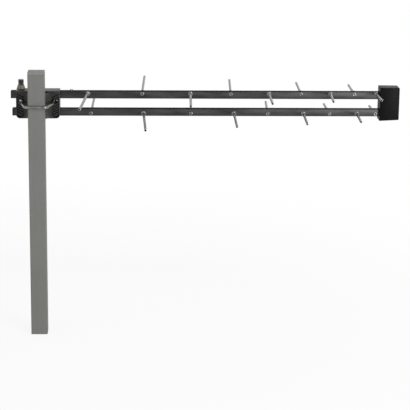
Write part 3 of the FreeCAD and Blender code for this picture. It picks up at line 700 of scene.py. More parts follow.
    @staticmethod
    def hollow(piece: Piece, test: Test, wall: float,
               by: Point) -> None:
        """Inset some faces and push them in or out.

        Args:
            piece: the piece to shape.
            test: says yes to a face's centre and normal.
            wall: width of the border that stays.
            by: how far the inner faces move.
        """
        Workbench.pick(piece, "FACE", test)
        bpy.ops.mesh.inset(thickness=wall)
        bpy.ops.mesh.extrude_region_move(TRANSFORM_OT_translate={"value": by})
        Workbench.clear()

    @staticmethod
    def repeat(piece: Piece, count: int, step: Vector) -> None:
        """Repeat a piece along a line, inside its own mesh.

        Args:
            piece: the piece.
            count: how many there are in the end.
            step: from one to the next.
        """
        Workbench.take(piece)
        array = piece.modifiers.new("row", "ARRAY")
        array.use_relative_offset = False
        array.use_constant_offset = True
        array.constant_offset_displace = step
        array.count = count
        bpy.ops.object.modifier_apply(modifier=array.name)

    @staticmethod
    def carve(piece: Piece, tools: Sequence[Piece],
              operation: str = "DIFFERENCE") -> None:
        """Cut a piece with others, which are used up.

        Args:
            piece: the piece that stays.
            tools: the cutters.
            operation: the Boolean modifier's operation.
        """
        for tool in tools:
            Workbench.take(piece)
            cut = piece.modifiers.new("cut", "BOOLEAN")
            cut.object = tool
            cut.operation = operation
            cut.solver = "EXACT"
            bpy.ops.object.modifier_apply(modifier=cut.name)
            Workbench.discard(tool)

    @staticmethod
    def discard(piece: Piece) -> None:
        """Remove a used-up piece and its mesh."""
        mesh = piece.data
        bpy.data.objects.remove(piece)
        bpy.data.meshes.remove(mesh)

    @staticmethod
    def join(first: Piece, *others: Piece) -> Piece:
        """Join pieces into the first.

        Args:
            first: the piece that stays.
            others: the pieces that go into it.

        Returns:
            The joined piece.
        """
        Workbench.take(first)
        for other in others:
            other.select_set(True)
        bpy.ops.object.join()
        return first

    @staticmethod
    def double(piece: Piece, name: str, by: Vector) -> Piece:
        """Copy a piece with a mesh of its own, and move the copy.

        Args:
            piece: the piece to copy.
            name: the copy's name.
            by: how far the copy moves.

        Returns:
            The copy.
        """
        copy = piece.copy()
        copy.data = piece.data.copy()
        copy.name = name
        bpy.context.scene.collection.objects.link(copy)
        copy.location = by
        Workbench.settle(copy)
        return copy

    @staticmethod
    def deliver(piece: Piece, finishes: Finishes, body: Body, slot: Slot, nodes: Sequence[str],
                smooth_deg: float = 35.0) -> None:
        """Dress a finished piece and hand it to the frame.

        Args:
            piece: the piece.
            finishes: every material, by its slot.
            body: the body that it rides on.
            slot: the slot that it takes its finish from.
            nodes: the CAD nodes that it stands for.
            smooth_deg: edges softer than this are shaded smooth.
        """
        Workbench.take(piece)
        bpy.ops.object.shade_smooth_by_angle(angle=math.radians(smooth_deg))
        piece.data.materials.clear()
        piece.data.materials.append(finishes[slot])
        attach(piece, body.value)
        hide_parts(*nodes)
        Workbench.clear()
        LOG.info("built %s: %d faces", piece.name, len(piece.data.polygons))


# ---------------------------------------------------------------- small shapes


def at_level(value: float, level: float) -> bool:
    """Whether a coordinate is at a level, within a hundredth of a millimetre."""
    return abs(value - level) < NEARLY


def along(axis: Axis) -> Test:
    """Test for edges that run along one axis.

    Args:
        axis: the axis.

    Returns:
        The test.
    """
    others = [other.value for other in Axis if other is not axis]
    return lambda a, b: all(at_level(a[index], b[index]) for index in others)


def in_plane(axis: Axis, level: float) -> Test:
    """Test for edges that lie in one plane square to an axis.

    Args:
        axis: the axis.
        level: where the plane crosses it.

    Returns:
        The test.
    """
    return lambda a, b: at_level(a[axis.value], level) and at_level(b[axis.value], level)


def facing(axis: Axis) -> Test:
    """Test for faces that look down an axis, towards its low end.

    Args:
        axis: the axis.

    Returns:
        The test.
    """
    return lambda _, normal: normal[axis.value] < -FACING


def thread(pitch: float, depth: float, start: float, end: float, run_out: float) -> Ripple:
    """A right-handed thread as a change of radius, fading at both ends.

    Args:
        pitch: from one crest to the next.
        depth: from crest to root.
        start: height where it begins.
        end: height where it ends.
        run_out: length over which it fades.

    Returns:
        The change of radius by height and angle.
    """
    def ripple(height: float, angle: float) -> float:
        """Depth of the groove at one point, as a negative radius."""
        if not start <= height <= end:
            return 0.0
        phase = (height / pitch - angle / (2.0 * math.pi)) % 1.0
        groove = 1.0 - abs(2.0 * phase - 1.0)
        fade = min(1.0, (height - start) / run_out, (end - height) / run_out)
        return -depth * groove * fade
    return ripple


def rising(low: float, high: float, step: float, radius: float) -> List[Station]:
    """Evenly spaced rings of one radius.

    Args:
        low: the first height.
        high: the last height.
        step: the largest spacing.
        radius: their radius.

    Returns:
        The stations.
    """
    count = max(1, math.ceil((high - low) / step))
    return [(low + (high - low) * index / count, radius) for index in range(count + 1)]


def offset(height: float, radius: float, outline: Outline) -> List[Station]:
    """An outline given in millimetres, moved to a height and a radius.

    Args:
        height: what its heights are measured from.
        radius: what its radii are measured from.
        outline: the outline.

    Returns:
        The stations.
    """
    return [(height + up * MM, radius + out * MM) for up, out in outline]


def centre_of(node: str) -> Vector:
    """The middle of a CAD node's box."""
    low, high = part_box(node)
    return (low + high) / 2


def bored_blank(name: str, centre: Vector, radius: float, low: float, high: float,
                sides: int = 24) -> Piece:
    """A plain round cutter along Y.

    Args:
        name: its name.
        centre: a point on its axis.
        radius: its radius.
        low: Y where it starts.
        high: Y where it ends.
        sides: its facets.

    Returns:
        The cutter.
    """
    length = high - low
    piece = Workbench.turned(name, [(0.0, 0.0), (0.0, radius), (length, radius), (length, 0.0)], sides)
    Workbench.stand(piece, Vector((centre.x, low, centre.z)), Axis.Y.vector)
    return piece


# ---------------------------------------------------------------- stage


@dataclass(frozen=True)
class SoftBox:
    """One square lamp: where it hangs, its side and its power in watts."""

    name: str
    at: Point
    side: float
    power: float


@dataclass
class Studio:
    """Floor, world, lamps and camera."""

    camera_at: Point = (0.1630, -2.6268, 0.8790)
    yaw_deg: float = 2.441
    pitch_deg: float = 14.087
    roll_deg: float = 0.606
    lens_mm: float = 144.0
    sensor_mm: float = 36.0
    farthest: float = 100.0
    floor_half: float = 30.0
    floor_paint: float = 0.93
    floor_glow: float = 0.86
    floor_fade: Range = (0.45, 1.1)
    world_fill: float = 0.55
    aim: Point = (0.25, 0.05, 0.33)
    soft_boxes: Tuple[SoftBox, ...] = (
        SoftBox("key", (1.5, -1.6, 2.2), 0.5, 14.0),
        SoftBox("fill", (-1.6, -1.9, 1.2), 1.8, 8.0),
        SoftBox("back", (1.3, 2.2, 1.3), 1.4, 6.0),
        SoftBox("low", (1.35, -2.3, 0.3), 0.5, 32.0),
    )

    def build(self) -> None:
        """Make everything that isn't the antenna."""
        scene = bpy.context.scene
        scene.view_settings.view_transform = "Standard"
        self.floor()
        self.world(scene)
        self.lamps()
        self.camera(scene)

    def floor(self) -> None:
        """A plain white floor that keeps the shadow and is white to the camera."""
        Workbench.clear()
        bpy.ops.mesh.primitive_plane_add(size=2.0 * self.floor_half, location=(0.0, 0.0, 0.0))
        floor = bpy.context.active_object
        floor.name = "floor"
        board = NodeBoard("floor_white")
        paint = (*shade(WHITE, self.floor_paint), 1.0)
        board.set(Base_Color=paint, Roughness=0.9, Specular_IOR_Level=0.1)
        glow = board.add("Emission")
        glow.inputs["Strength"].default_value = 1.0
        mix = board.add("MixShader")
        reach = board.add("VectorMath", operation="LENGTH")
        board.join(board.place(), reach.inputs[0])
        far = board.remap(reach.outputs["Value"], self.floor_fade, (self.floor_glow, 1.0))
        board.join(board.math("MULTIPLY", board.seen(), far), mix.inputs[0])
        board.join(board.shader.outputs[0], mix.inputs[1])
        board.join(glow.outputs[0], mix.inputs[2])
        board.join(mix.outputs[0], board.tree.nodes["Material Output"].inputs["Surface"])
        floor.data.materials.append(board.material)

    def world(self, scene: bpy.types.Scene) -> None:
        """White to camera, glossy and transmission rays, and a softer fill to the rest.

        Args:
            scene: the scene to light.
        """
        board = SkyBoard("studio")
        scene.world = board.world
        board.set(Color=(*WHITE, 1.0))
        board.feed(Strength=board.remap(board.seen(), (0.0, 1.0), (self.world_fill, 1.0)))

    def lamps(self) -> None:
        """Hang a key upper right, a fill on the left, one behind and one low on the right."""
        for box in self.soft_boxes:
            data = bpy.data.lights.new(box.name, "AREA")
            data.size = box.side
            data.energy = box.power
            lamp = bpy.data.objects.new(box.name, data)
            lamp.location = box.at
            aim = Vector(self.aim) - Vector(box.at)
            lamp.rotation_euler = aim.to_track_quat("-Z", "Y").to_euler()
            lamp.visible_camera = False
            bpy.context.scene.collection.objects.link(lamp)

    def camera(self, scene: bpy.types.Scene) -> None:
        """A long lens, a little above the booms.

        Args:
            scene: the scene that looks through it.
        """
        yaw, pitch, roll = (math.radians(turn) for turn in (self.yaw_deg, self.pitch_deg, self.roll_deg))
        level = math.cos(pitch)
        ahead = Vector((math.sin(yaw) * level, math.cos(yaw) * level, -math.sin(pitch)))
        right = Vector((math.cos(yaw), -math.sin(yaw), 0.0))
        above = right.cross(ahead)
        right_rolled = right * math.cos(roll) + above * math.sin(roll)
        above_rolled = above * math.cos(roll) - right * math.sin(roll)
        turn = Matrix((right_rolled, above_rolled, -ahead)).transposed()
        data = bpy.data.cameras.new("camera")
        data.sensor_width = self.sensor_mm
        data.lens = self.lens_mm
        data.clip_end = self.farthest
        camera = bpy.data.objects.new("camera", data)
        camera.matrix_world = Matrix.Translation(self.camera_at) @ turn.to_4x4()
        scene.collection.objects.link(camera)
        scene.camera = camera


# ---------------------------------------------------------------- sub-assemblies


@dataclass
class MastHead:
    """The moulded cap in the mast's top end."""

    finishes: Finishes
    corner: float = 1.6 * MM
    edge: float = 1.0 * MM
    seam: float = 0.4 * MM
    wall: float = 1.3 * MM

    def build(self) -> None:
        """A lip as wide as the mast, with a plug below it."""
        low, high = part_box("mast_cap")
        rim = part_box("mast_tube")[1].z
        head = Workbench.block("mast_head", Vector((low.x, low.y, rim)), high)
        Workbench.round_off(head, along(Axis.Z), self.corner, segments=5)
        Workbench.round_off(head, in_plane(Axis.Z, high.z), self.edge, segments=4)
        Workbench.round_off(head, in_plane(Axis.Z, rim), self.seam, segments=1)
        Workbench.hollow(head, facing(Axis.Z), self.wall, (0.0, 0.0, low.z - rim))
        Workbench.deliver(head, self.finishes, Body.MAST, Slot.MAST_CAP, ["mast_cap"])


@dataclass
class BoomPair:
    """Two extruded square tubes."""

    finishes: Finishes
    corner: float = 0.35 * MM
    wall: float = 1.2 * MM

    def build(self) -> None:
        """Both tubes."""
        for level in Level:
            self.tube(level)

    def tube(self, level: Level) -> None:
        """One tube with rounded corners and an open bore.

        Args:
            level: which boom.
        """
        node = level.word + "_boom"
        low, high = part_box(node)
        bar = Workbench.block(level.word + "_boom_tube", low, high)
        Workbench.round_off(bar, along(Axis.X), self.corner, segments=3)
        Workbench.pick(bar, "FACE", lambda _, normal: abs(normal.x) > FACING)
        bpy.ops.mesh.inset(thickness=self.wall)
        bpy.ops.mesh.bridge_edge_loops()
        Workbench.weld(bar)
        Workbench.deliver(bar, self.finishes, Body.ANTENNA, Slot.BOOM, [node])


@dataclass
class DipoleSet:
    """Eighteen tubular rods, each with a pressed collar and a riveted heel."""

    finishes: Finishes
    count: int = 9
    radius: float = 2.0 * MM
    bore: float = 1.4 * MM
    bore_depth: float = 14.0 * MM
    collar: float = 4.2 * MM
    collar_rim: float = 0.5 * MM
    collar_cone: float = 2.0 * MM
    rivet: float = 3.3 * MM
    rivet_height: float = 0.8 * MM
    boom_side: float = 12.0 * MM
    sides: int = 28
    smooth_deg: float = 25.0
    end_slice: float = 0.35 * MM
    heel_mouth: Outline = ((0.25, 0.0), (0.04, 0.125), (0.0, 0.25))
    rivet_button: Outline = ((0.0, -0.9), (0.08, -0.5), (0.25, -0.18), (0.5, 0.0))
    collar_edge: Outline = ((-0.2, 0.0), (0.0, -0.12), (0.2, -0.5), (0.45, -1.1))
    collar_flare: Outline = ((-1.1, 0.55), (-0.4, 0.3), (0.0, 0.22), (0.15, 0.0))
    tip_edge: Outline = ((-0.25, 0.0), (-0.06, -0.12), (0.0, -0.25))
    tip_mouth: Outline = ((0.0, 0.15), (-0.15, 0.0))

    def build(self) -> None:
        """Every rod on both booms."""
        for number in range(1, self.count + 1):
            for level in Level:
                self.rod(number, level)

    def axis_of(self, node: str) -> Tuple[Vector, Vector]:
        """Centres of a rod's riveted heel and of its open tip, read from its CAD node.

        Args:
            node: the rod's node.

        Returns:
            The heel's and the tip's centres.
        """
        low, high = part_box(node)
        places = [vertex.co for vertex in frame["nodes"][node].data.vertices]
        middle = centre_of(node.split("_")[2] + "_boom").y
        ends = []
        for level in (low.y, high.y):
            near = [place for place in places if abs(place.y - level) < self.end_slice]
            ends.append(Vector([(min(values) + max(values)) / 2 for values in zip(*near)]))
        ends.sort(key=lambda end: abs(end.y - middle))
        return ends[0], ends[1]

    def profile(self, length: float) -> List[Station]:
        """Rings from the heel's bore to the tip's.

        Args:
            length: from heel to tip.

        Returns:
            The stations.
        """
        wall = self.rivet_height
        seat = wall + self.boom_side
        rim = seat + self.collar_rim
        return [
            (self.bore_depth / 2, 0.0),
            (self.bore_depth / 2, self.bore),
            *offset(0.0, self.bore, self.heel_mouth),
            *offset(0.0, self.rivet, self.rivet_button),
            (wall, self.rivet),
            (wall, self.radius),
            (seat, self.radius),
            (seat, self.collar),
            *offset(rim, self.collar, self.collar_edge),
            *offset(rim + self.collar_cone, self.radius, self.collar_flare),
            *offset(length, self.radius, self.tip_edge),
            *offset(length, self.bore, self.tip_mouth),
            (length - self.bore_depth, self.bore),
            (length - self.bore_depth, 0.0),
        ]

    def rod(self, number: int, level: Level) -> None:
        """One rod.

        Args:
            number: which dipole, from the rear.
            level: which boom.
        """
        node = "dipole_%d_%s_rod" % (number, level.word)
        heel, tip = self.axis_of(node)
        run = tip - heel
        name = "rod_%d_%s" % (number, level.word)
        piece = Workbench.turned(name, self.profile(run.length), self.sides)
        Workbench.stand(piece, heel, run.normalized())
        Workbench.deliver(piece, self.finishes, Body.ANTENNA, Slot.ROD, [node], self.smooth_deg)


@dataclass
class SlottedScrew:
    """A slotted pan-head screw, made about Z with its head's underside at 0.

    side and slot_floor are shares of the head's height, crown and seat of its radius, and tip
    of the shank's radius.
    """

    head: float
    height: float
    shank: float
    length: float
    slot: float = 0.8 * MM
    under_edge: float = 0.12 * MM
    side: float = 0.45
    slot_floor: float = 0.5
    crown: float = 0.62
    seat: float = 0.95
    tip: float = 0.6
    dome_steps: int = 5
    sides: int = 28

    def make(self, name: str) -> Piece:
        """Turn the screw and cut its slot.

        Args:
            name: the piece's name.

        Returns:
            The screw, standing at the origin.
        """
        dome = []
        for step in range(self.dome_steps + 1):
            turn = math.radians(90.0 * step / self.dome_steps)
            dome.append((self.height * (self.side + (1.0 - self.side) * math.sin(turn)),
                         self.head * (self.crown + (1.0 - self.crown) * math.cos(turn))))
        screw = Workbench.turned(name, [
            (-self.length, 0.0), (-self.length, self.shank * self.tip),
            (self.shank - self.length, self.shank), (0.0, self.shank),
            (0.0, self.head * self.seat), (self.under_edge, self.head),
            *dome, (self.height, 0.0)], self.sides)
        reach = Vector((2.0 * self.head, self.slot / 2, 2.0 * self.height))
        floor = self.height * self.slot_floor
        cutter = Workbench.block("slot", Vector((-reach.x, -reach.y, floor)), reach)
        Workbench.carve(screw, [cutter])
        return screw


@dataclass
class ClampHousing:
    """The two moulded shells round the booms, the toothed saddle, and their screws."""

    finishes: Finishes
    bottom_corner: float = 6.0 * MM
    edge: float = 0.8 * MM
    parting: float = 0.25 * MM
    fit: float = 0.1 * MM
    slot_radius: float = 2.8 * MM
    slot_travel: float = 5.0 * MM
    leg_x: float = 25.0 * MM
    leg_z: float = 385.0 * MM
    passage: float = 5.05 * MM
    pocket_top: float = 0.8 * MM
    pocket_bottom: float = 5.5 * MM
    pocket_border: float = 1.3 * MM
    pocket_corner: float = 4.8 * MM
    pocket_inset: float = 1.0 * MM
    pocket_side: float = 1.2 * MM
    groove_start: float = 2.0 * MM
    groove_over: float = 0.6 * MM
    groove_flank: float = 0.9
    groove_depth: float = 1.2 * MM
    groove_width: float = 2.6 * MM
    groove_pitch: float = 4.2 * MM
    groove_rise: float = 6.0 * MM
    groove_count: int = 8
    rib_half: float = 7.0 * MM
    rib_gap: float = 2.2 * MM
    rib_pitch: float = 3.4 * MM
    rib_start: float = 6.5 * MM
    rib_count: int = 10
    tip_half: float = 13.0 * MM
    mouth_half: float = 11.6 * MM
    notch_depth: float = 10.0 * MM
    tooth_pitch: float = 2.5 * MM
    tooth_gap: float = 1.3 * MM
    tooth_depth: float = 0.9 * MM
    vee_floor_half: float = 2.0 * MM
    saddle_edge: float = 0.5 * MM
    shell_screw_x: float = 12.0 * MM
    shell_screw_z: float = 380.0 * MM
    lock_screw_x: float = 20.0 * MM
    shell_shank: float = 1.5 * MM
    boom_shank: float = 1.25 * MM
    shell_turns_deg: Tuple[float, ...] = (15.0, 70.0)
    lock_turns_deg: Tuple[float, ...] = (-35.0, 50.0)

    def build(self) -> None:
        """Shells, saddle and screws."""
        self.front_shell()
        self.rear_shell()
        self.saddle()
        self.screws()

    def blank(self, name: str, node: str, parting_y: float) -> Piece:
        """A shell's outer shape, with a hairline chamfer where the two shells meet.

        Args:
            name: the piece's name.
            node: the CAD node that it stands for.
            parting_y: Y of the plane where they meet.

        Returns:
            The blank.
        """
        low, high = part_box(node)
        shell = Workbench.block(name, low, high)
        Workbench.round_off(shell, lambda a, b: along(Axis.Y)(a, b) and at_level(a.z, low.z),
                            self.bottom_corner, segments=10)

        def outer(a: Vector, b: Vector) -> bool:
            """Edges of the outer face, and those along Y at the top."""
            on_face = at_level(a.y, b.y) and not at_level(a.y, parting_y)
            return on_face or (along(Axis.Y)(a, b) and at_level(a.z, high.z))
        Workbench.round_off(shell, outer, self.edge, segments=3)
        Workbench.round_off(shell, in_plane(Axis.Y, parting_y), self.parting, segments=1)
        return shell

    def passages(self, low: Vector, high: Vector) -> List[Piece]:
        """Cutters for the booms, the bow's legs and the socket's neck.

        Args:
            low: the shell's lowest corner.
            high: its highest corner.

        Returns:
            The cutters.
        """
        tools = []
        reach = Vector((5.0 * OVER, self.fit, self.fit))
        for level in Level:
            boom_low, boom_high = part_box(level.word + "_boom")
            start = Vector((low.x, boom_low.y, boom_low.z)) - reach
            end = Vector((high.x, boom_high.y, boom_high.z)) + reach
            tools.append(Workbench.block("boom_way", start, end))
        for side in SIDES:
            leg = Vector((side * self.leg_x, 0.0, self.leg_z))
            way = bored_blank("leg_way", leg, self.slot_radius, low.y - 2.0 * OVER, high.y + 2.0 * OVER)
            Workbench.shift(way, lambda place, _: side * place.x > self.leg_x + NEARLY,
                            (side * self.slot_travel, 0.0, 0.0))
            tools.append(way)
        centre = centre_of("socket_body")
        neck = Workbench.turned("neck_way", [(0.0, 0.0), (0.0, self.passage), (8.0 * OVER, self.passage),
                                             (8.0 * OVER, 0.0)], sides=40)
        Workbench.stand(neck, Vector((centre.x, centre.y, high.z - 5.0 * OVER)), Axis.Z.vector)
        tools.append(neck)
        return tools

    def front_shell(self) -> None:
        """The shell towards the mast, with a grooved recess on each side of the saddle."""
        low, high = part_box("clamp_front_shell")
        shell = self.blank("clamp_front", "clamp_front_shell", high.y)
        for side in SIDES:
            Workbench.carve(shell, self.grip(side, low, high))
        Workbench.carve(shell, self.passages(low, high))
        Workbench.deliver(shell, self.finishes, Body.ANTENNA, Slot.BLACK, ["clamp_front_shell"])

    def grip(self, side: float, low: Vector, high: Vector) -> List[Piece]:
        """Cutters for one recess, deeper towards its foot, and for its slanted grooves.

        Args:
            side: -1 for the left one, 1 for the right one.
            low: the front shell's lowest corner.
            high: its highest corner.

        Returns:
            The cutters.
        """
        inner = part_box("mast_saddle")[1].x + self.pocket_inset
        outer = high.x - self.pocket_side
        left, right = sorted((side * inner, side * outer))
        floor = low.z + self.pocket_border
        ceiling = high.z - self.pocket_border - self.edge
        pocket = Workbench.block("pocket", Vector((left, low.y - OVER, floor)),
                                 Vector((right, low.y + self.pocket_bottom, ceiling)))
        Workbench.shift(pocket, lambda place, _: place.y > low.y and at_level(place.z, ceiling),
                        (0.0, self.pocket_top - self.pocket_bottom, 0.0))
        Workbench.round_off(pocket, lambda a, b: along(Axis.Y)(a, b) and at_level(a.z, floor),
                            self.pocket_corner, segments=8)
        lean = (self.pocket_top - self.pocket_bottom) / (ceiling - floor)
        start = floor + self.groove_start
        face = low.y + self.pocket_bottom + lean * self.groove_start
        groove = Workbench.block("groove", Vector((left, face - self.groove_over, start)),
                                 Vector((right, face + self.groove_depth, start + self.groove_width)))
        Workbench.shift(groove, lambda place, _: place.y > face and at_level(place.z, start),
                        (0.0, 0.0, self.groove_flank * self.groove_width))
        Workbench.shift(groove, lambda place, _: abs(place.x) > (inner + outer) / 2,
                        (0.0, lean * self.groove_rise, self.groove_rise))
        Workbench.repeat(groove, self.groove_count, Vector((0.0, lean, 1.0)) * self.groove_pitch)
        return [pocket, groove]

    def rear_shell(self) -> None:
        """The shell behind the booms, with a ribbed recess between its screws."""
        low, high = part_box("clamp_rear_shell")
        shell = self.blank("clamp_rear", "clamp_rear_shell", low.y)
        start = low.z + self.rib_start
        slot = Workbench.block("rib_gap", Vector((-self.rib_half, high.y - self.groove_depth, start)),
                               Vector((self.rib_half, high.y + OVER, start + self.rib_gap)))
        Workbench.repeat(slot, self.rib_count, Vector((0.0, 0.0, self.rib_pitch)))
        Workbench.carve(shell, [slot, *self.passages(low, high)])
        Workbench.deliver(shell, self.finishes, Body.ANTENNA, Slot.BLACK, ["clamp_rear_shell"])

    def saddle(self) -> None:
        """The sloped block between shell and mast, with a toothed vee for round masts."""
        low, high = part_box("mast_saddle")
        shell_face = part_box("clamp_front_shell")[0].y
        saddle = Workbench.block("saddle", low, Vector((high.x, shell_face, high.z)))
        for side in SIDES:
            Workbench.shift(saddle, lambda place, _: at_level(place.y, low.y) and side * place.x > 0.0,
                            (side * (self.tip_half - high.x), 0.0, 0.0))
        on_shell = in_plane(Axis.Y, shell_face)
        Workbench.round_off(saddle, lambda a, b: not on_shell(a, b), self.saddle_edge, segments=2)
        notch = self.wedge("notch", low, high, self.mouth_half, self.notch_depth)
        teeth = self.wedge("teeth", low, high, self.mouth_half + self.tooth_depth,
                           self.notch_depth + self.tooth_depth)
        bottom = Vector((-high.x, low.y - 3.0 * OVER, low.z + self.tooth_gap))
        slab = Workbench.block("tooth_slabs", bottom,
                               Vector((high.x, shell_face, low.z + self.tooth_pitch)))
        Workbench.repeat(slab, round((high.z - low.z) / self.tooth_pitch) - 1,
                         Vector((0.0, 0.0, self.tooth_pitch)))
        Workbench.carve(slab, [teeth], "INTERSECT")
        Workbench.carve(saddle, [notch, slab])
        Workbench.deliver(saddle, self.finishes, Body.ANTENNA, Slot.SADDLE, ["mast_saddle"])

    def wedge(self, name: str, low: Vector, high: Vector, half: float, depth: float) -> Piece:
        """A vee-shaped cutter, as high as the saddle and more.

        Args:
            name: its name.
            low: the saddle's lowest corner.
            high: its highest corner.
            half: half the vee's mouth.
            depth: the vee's depth.

        Returns:
            The cutter.
        """
        wedge = Workbench.block(name, Vector((-half, low.y - OVER, low.z - OVER)),
                                Vector((half, low.y + depth, high.z + OVER)))
        for side in SIDES:
            Workbench.shift(wedge, lambda place, _: place.y > low.y and side * place.x > 0.0,
                            (side * (self.vee_floor_half - half), 0.0, 0.0))
        return wedge

    def screws(self) -> None:
        """Two shell screws, two lock screws and the one on the upper boom."""
        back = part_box("clamp_rear_shell")[1].y
        boom_z = [centre_of(level.word + "_boom").z for level in Level]
        shell_places = [Vector((side * self.shell_screw_x, back, self.shell_screw_z)) for side in SIDES]
        lock_places = [Vector((self.lock_screw_x, back, height)) for height in boom_z]
        self.screw_group("shell_screws", self.shell_shank, shell_places, self.shell_turns_deg)
        self.screw_group("boom_lock_screws", self.boom_shank, lock_places, self.lock_turns_deg)
        low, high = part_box("boom_top_screw")
        centre = (low + high) / 2
        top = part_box("upper_boom")[1].z
        kind = SlottedScrew(high.x - centre.x, high.z - top, self.boom_shank, top - low.z)
        screw = kind.make("top_screw")
        Workbench.stand(screw, Vector((centre.x, centre.y, top)), Axis.Z.vector)
        Workbench.deliver(screw, self.finishes, Body.ANTENNA, Slot.ZINC, ["boom_top_screw"])

    def screw_group(self, node: str, shank: float, places: Sequence[Vector],
                    turns_deg: Sequence[float]) -> None:
        """Screws of one kind, driven in from behind and joined.

        Args:
            node: the CAD node that they stand for.
            shank: the shank's radius.
            places: where the underside of each head's centre sits.
            turns_deg: how far each slot is turned.
        """
        low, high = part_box(node)
        height = high.y - places[0].y
        head = min(high.x - places[-1].x, places[0].x - low.x)
        first = SlottedScrew(head, height, shank, places[0].y - low.y).make(node + "_heads")
        others = [Workbench.double(first, "screw", Vector()) for _ in places[1:]]
        for screw, place, turn in zip([first, *others], places, turns_deg):
            Workbench.take(screw)
            screw.rotation_euler = (0.0, 0.0, math.radians(turn))
            Workbench.settle(screw)
            Workbench.stand(screw, place, Axis.Y.vector)
        Workbench.join(first, *others)
        Workbench.deliver(first, self.finishes, Body.ANTENNA, Slot.ZINC, [node])


@dataclass
class BowClamp:
    """The bent steel rod round the mast, with its washers and nuts."""

    finishes: Finishes
    rod: float = 2.24 * MM
    leg_x: float = 25.0 * MM
    height: float = 385.0 * MM
    bend_y: float = 18.0 * MM
    front_x: float = 18.0 * MM
    leg_bend: float = 14.0 * MM
    front_bend: float = 6.0 * MM
    thread_radius: float = 2.5 * MM
    thread_length: float = 20.0 * MM
    pitch: float = 0.8 * MM
    thread_depth: float = 0.42 * MM
    thread_lead: float = 0.4 * MM
    thread_fade: float = 0.5 * MM
    leg_rings: int = 5
    nut_rings: int = 4
    leg_chamfer: float = 0.5 * MM
    leg_overlap: float = 0.5 * MM
    leg_root: float = 0.1 * MM
    washer_hole: float = 2.8 * MM
    washer_edge: float = 0.18 * MM
    flats: float = 8.0 * MM
    nut_cone: float = 0.75 * MM
    nut_face: float = 0.97
    nut_corner: float = 1.04
    nut_bore: float = 2.55 * MM
    nut_thread: float = 0.3 * MM
    tap_crest: float = 0.25 * MM
    tap_start: float = 0.5 * MM
    tap_end: Outline = ((-0.5, 0.95), (0.4, 0.1))
    sides: int = 24
    smooth_deg: float = 30.0

    def build(self) -> None:
        """The bow, two washers and two nuts."""
        self.bow()
        for word, body in (("left", Body.LEFT_NUT), ("right", Body.RIGHT_NUT)):
            self.washer(word)
            self.nut(word, body)

    def corner(self, before: Vector, at: Vector, after: Vector, radius: float,
               steps: int = 12) -> List[Vector]:
        """Points of a bend of one radius.

        Args:
            before: the path's point before the corner.
            at: the corner.
            after: the point after it.
            radius: the bend's radius.
            steps: segments of the bend.

        Returns:
            The points, from one tangent point to the other.
        """
        entry = (before - at).normalized()
        leave = (after - at).normalized()
        half = entry.angle(leave) / 2
        middle = at + (entry + leave).normalized() * radius / math.sin(half)
        first = at + entry * radius / math.tan(half) - middle
        last = at + leave * radius / math.tan(half) - middle
        first.normalize()
        last.normalize()
        return [middle + first.slerp(last, step / steps) * radius for step in range(steps + 1)]

    def route(self) -> List[Vector]:
        """The rod's middle line, from one thread to the other.

        Returns:
            The points.
        """
        low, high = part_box("clamp_bow")
        front = low.y + self.rod
        thread_start = high.y - self.thread_length
        turns = ((-self.leg_x, thread_start), (-self.leg_x, self.bend_y), (-self.front_x, front))
        half = [Vector((x, y, self.height)) for x, y in turns]
        points = half + [Vector((-place.x, place.y, place.z)) for place in reversed(half)]
        bends = (self.leg_bend, self.front_bend, self.front_bend, self.leg_bend)
        line = [points[0]]
        for before, at, after, radius in zip(points, points[1:], points[2:], bends):
            line += self.corner(before, at, after, radius)
        return line + [points[-1]]

    def bow(self) -> None:
        """The bent rod, with a thread on each leg."""
        line = self.route()
        curve = bpy.data.curves.new("bow_line", "CURVE")
        curve.dimensions = "3D"
        curve.bevel_depth = self.rod
        curve.bevel_resolution = 6
        curve.use_fill_caps = True
        spline = curve.splines.new("POLY")
        spline.points.add(len(line) - 1)
        for point, place in zip(spline.points, line):
            point.co = (*place, 1.0)
        bow = bpy.data.objects.new("bow_rod", curve)
        bpy.context.scene.collection.objects.link(bow)
        Workbench.take(bow)
        bpy.ops.object.convert(target="MESH")
        bow = bpy.context.active_object
        legs = [self.threaded_leg(line[0].y)]
        legs.append(Workbench.double(legs[0], "leg", Vector((2.0 * self.leg_x, 0.0, 0.0))))
        Workbench.join(bow, *legs)
        Workbench.weld(bow)
        Workbench.deliver(bow, self.finishes, Body.BOW, Slot.ZINC, ["clamp_bow"], self.smooth_deg)

    def threaded_leg(self, start: float) -> Piece:
        """The left leg's threaded end.

        Args:
            start: Y where the thread begins.

        Returns:
            The leg's end.
        """
        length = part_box("clamp_bow")[1].y - start
        end = length - self.leg_chamfer
        ripple = thread(self.pitch, self.thread_depth, self.thread_lead, end, self.thread_fade)
        leg = Workbench.turned("leg_thread", [
            (-self.leg_overlap, 0.0), (-self.leg_overlap, self.rod - self.leg_root),
            *rising(0.0, end, self.pitch / self.leg_rings, self.thread_radius),
            (length, self.thread_radius - self.leg_chamfer), (length, 0.0)], self.sides, ripple)
        Workbench.stand(leg, Vector((-self.leg_x, start, self.height)), Axis.Y.vector)
        return leg

    def washer(self, word: str) -> None:
        """One plain washer with rounded edges.

        Args:
            word: left or right.
        """
        low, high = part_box(word + "_washer")
        centre = (low + high) / 2
        thick = high.y - low.y
        outer = high.x - centre.x
        edge = self.washer_edge
        bore = (0.0, self.washer_hole + edge)
        washer = Workbench.turned(word + "_washer_ring", [
            bore, (0.0, outer - edge), (edge, outer), (thick - edge, outer),
            (thick, outer - edge), (thick, self.washer_hole + edge), (thick - edge, self.washer_hole),
            (edge, self.washer_hole), bore], sides=40)
        Workbench.stand(washer, Vector((centre.x, low.y, centre.z)), Axis.Y.vector)
        Workbench.deliver(washer, self.finishes, Body.ANTENNA, Slot.ZINC, [word + "_washer"])

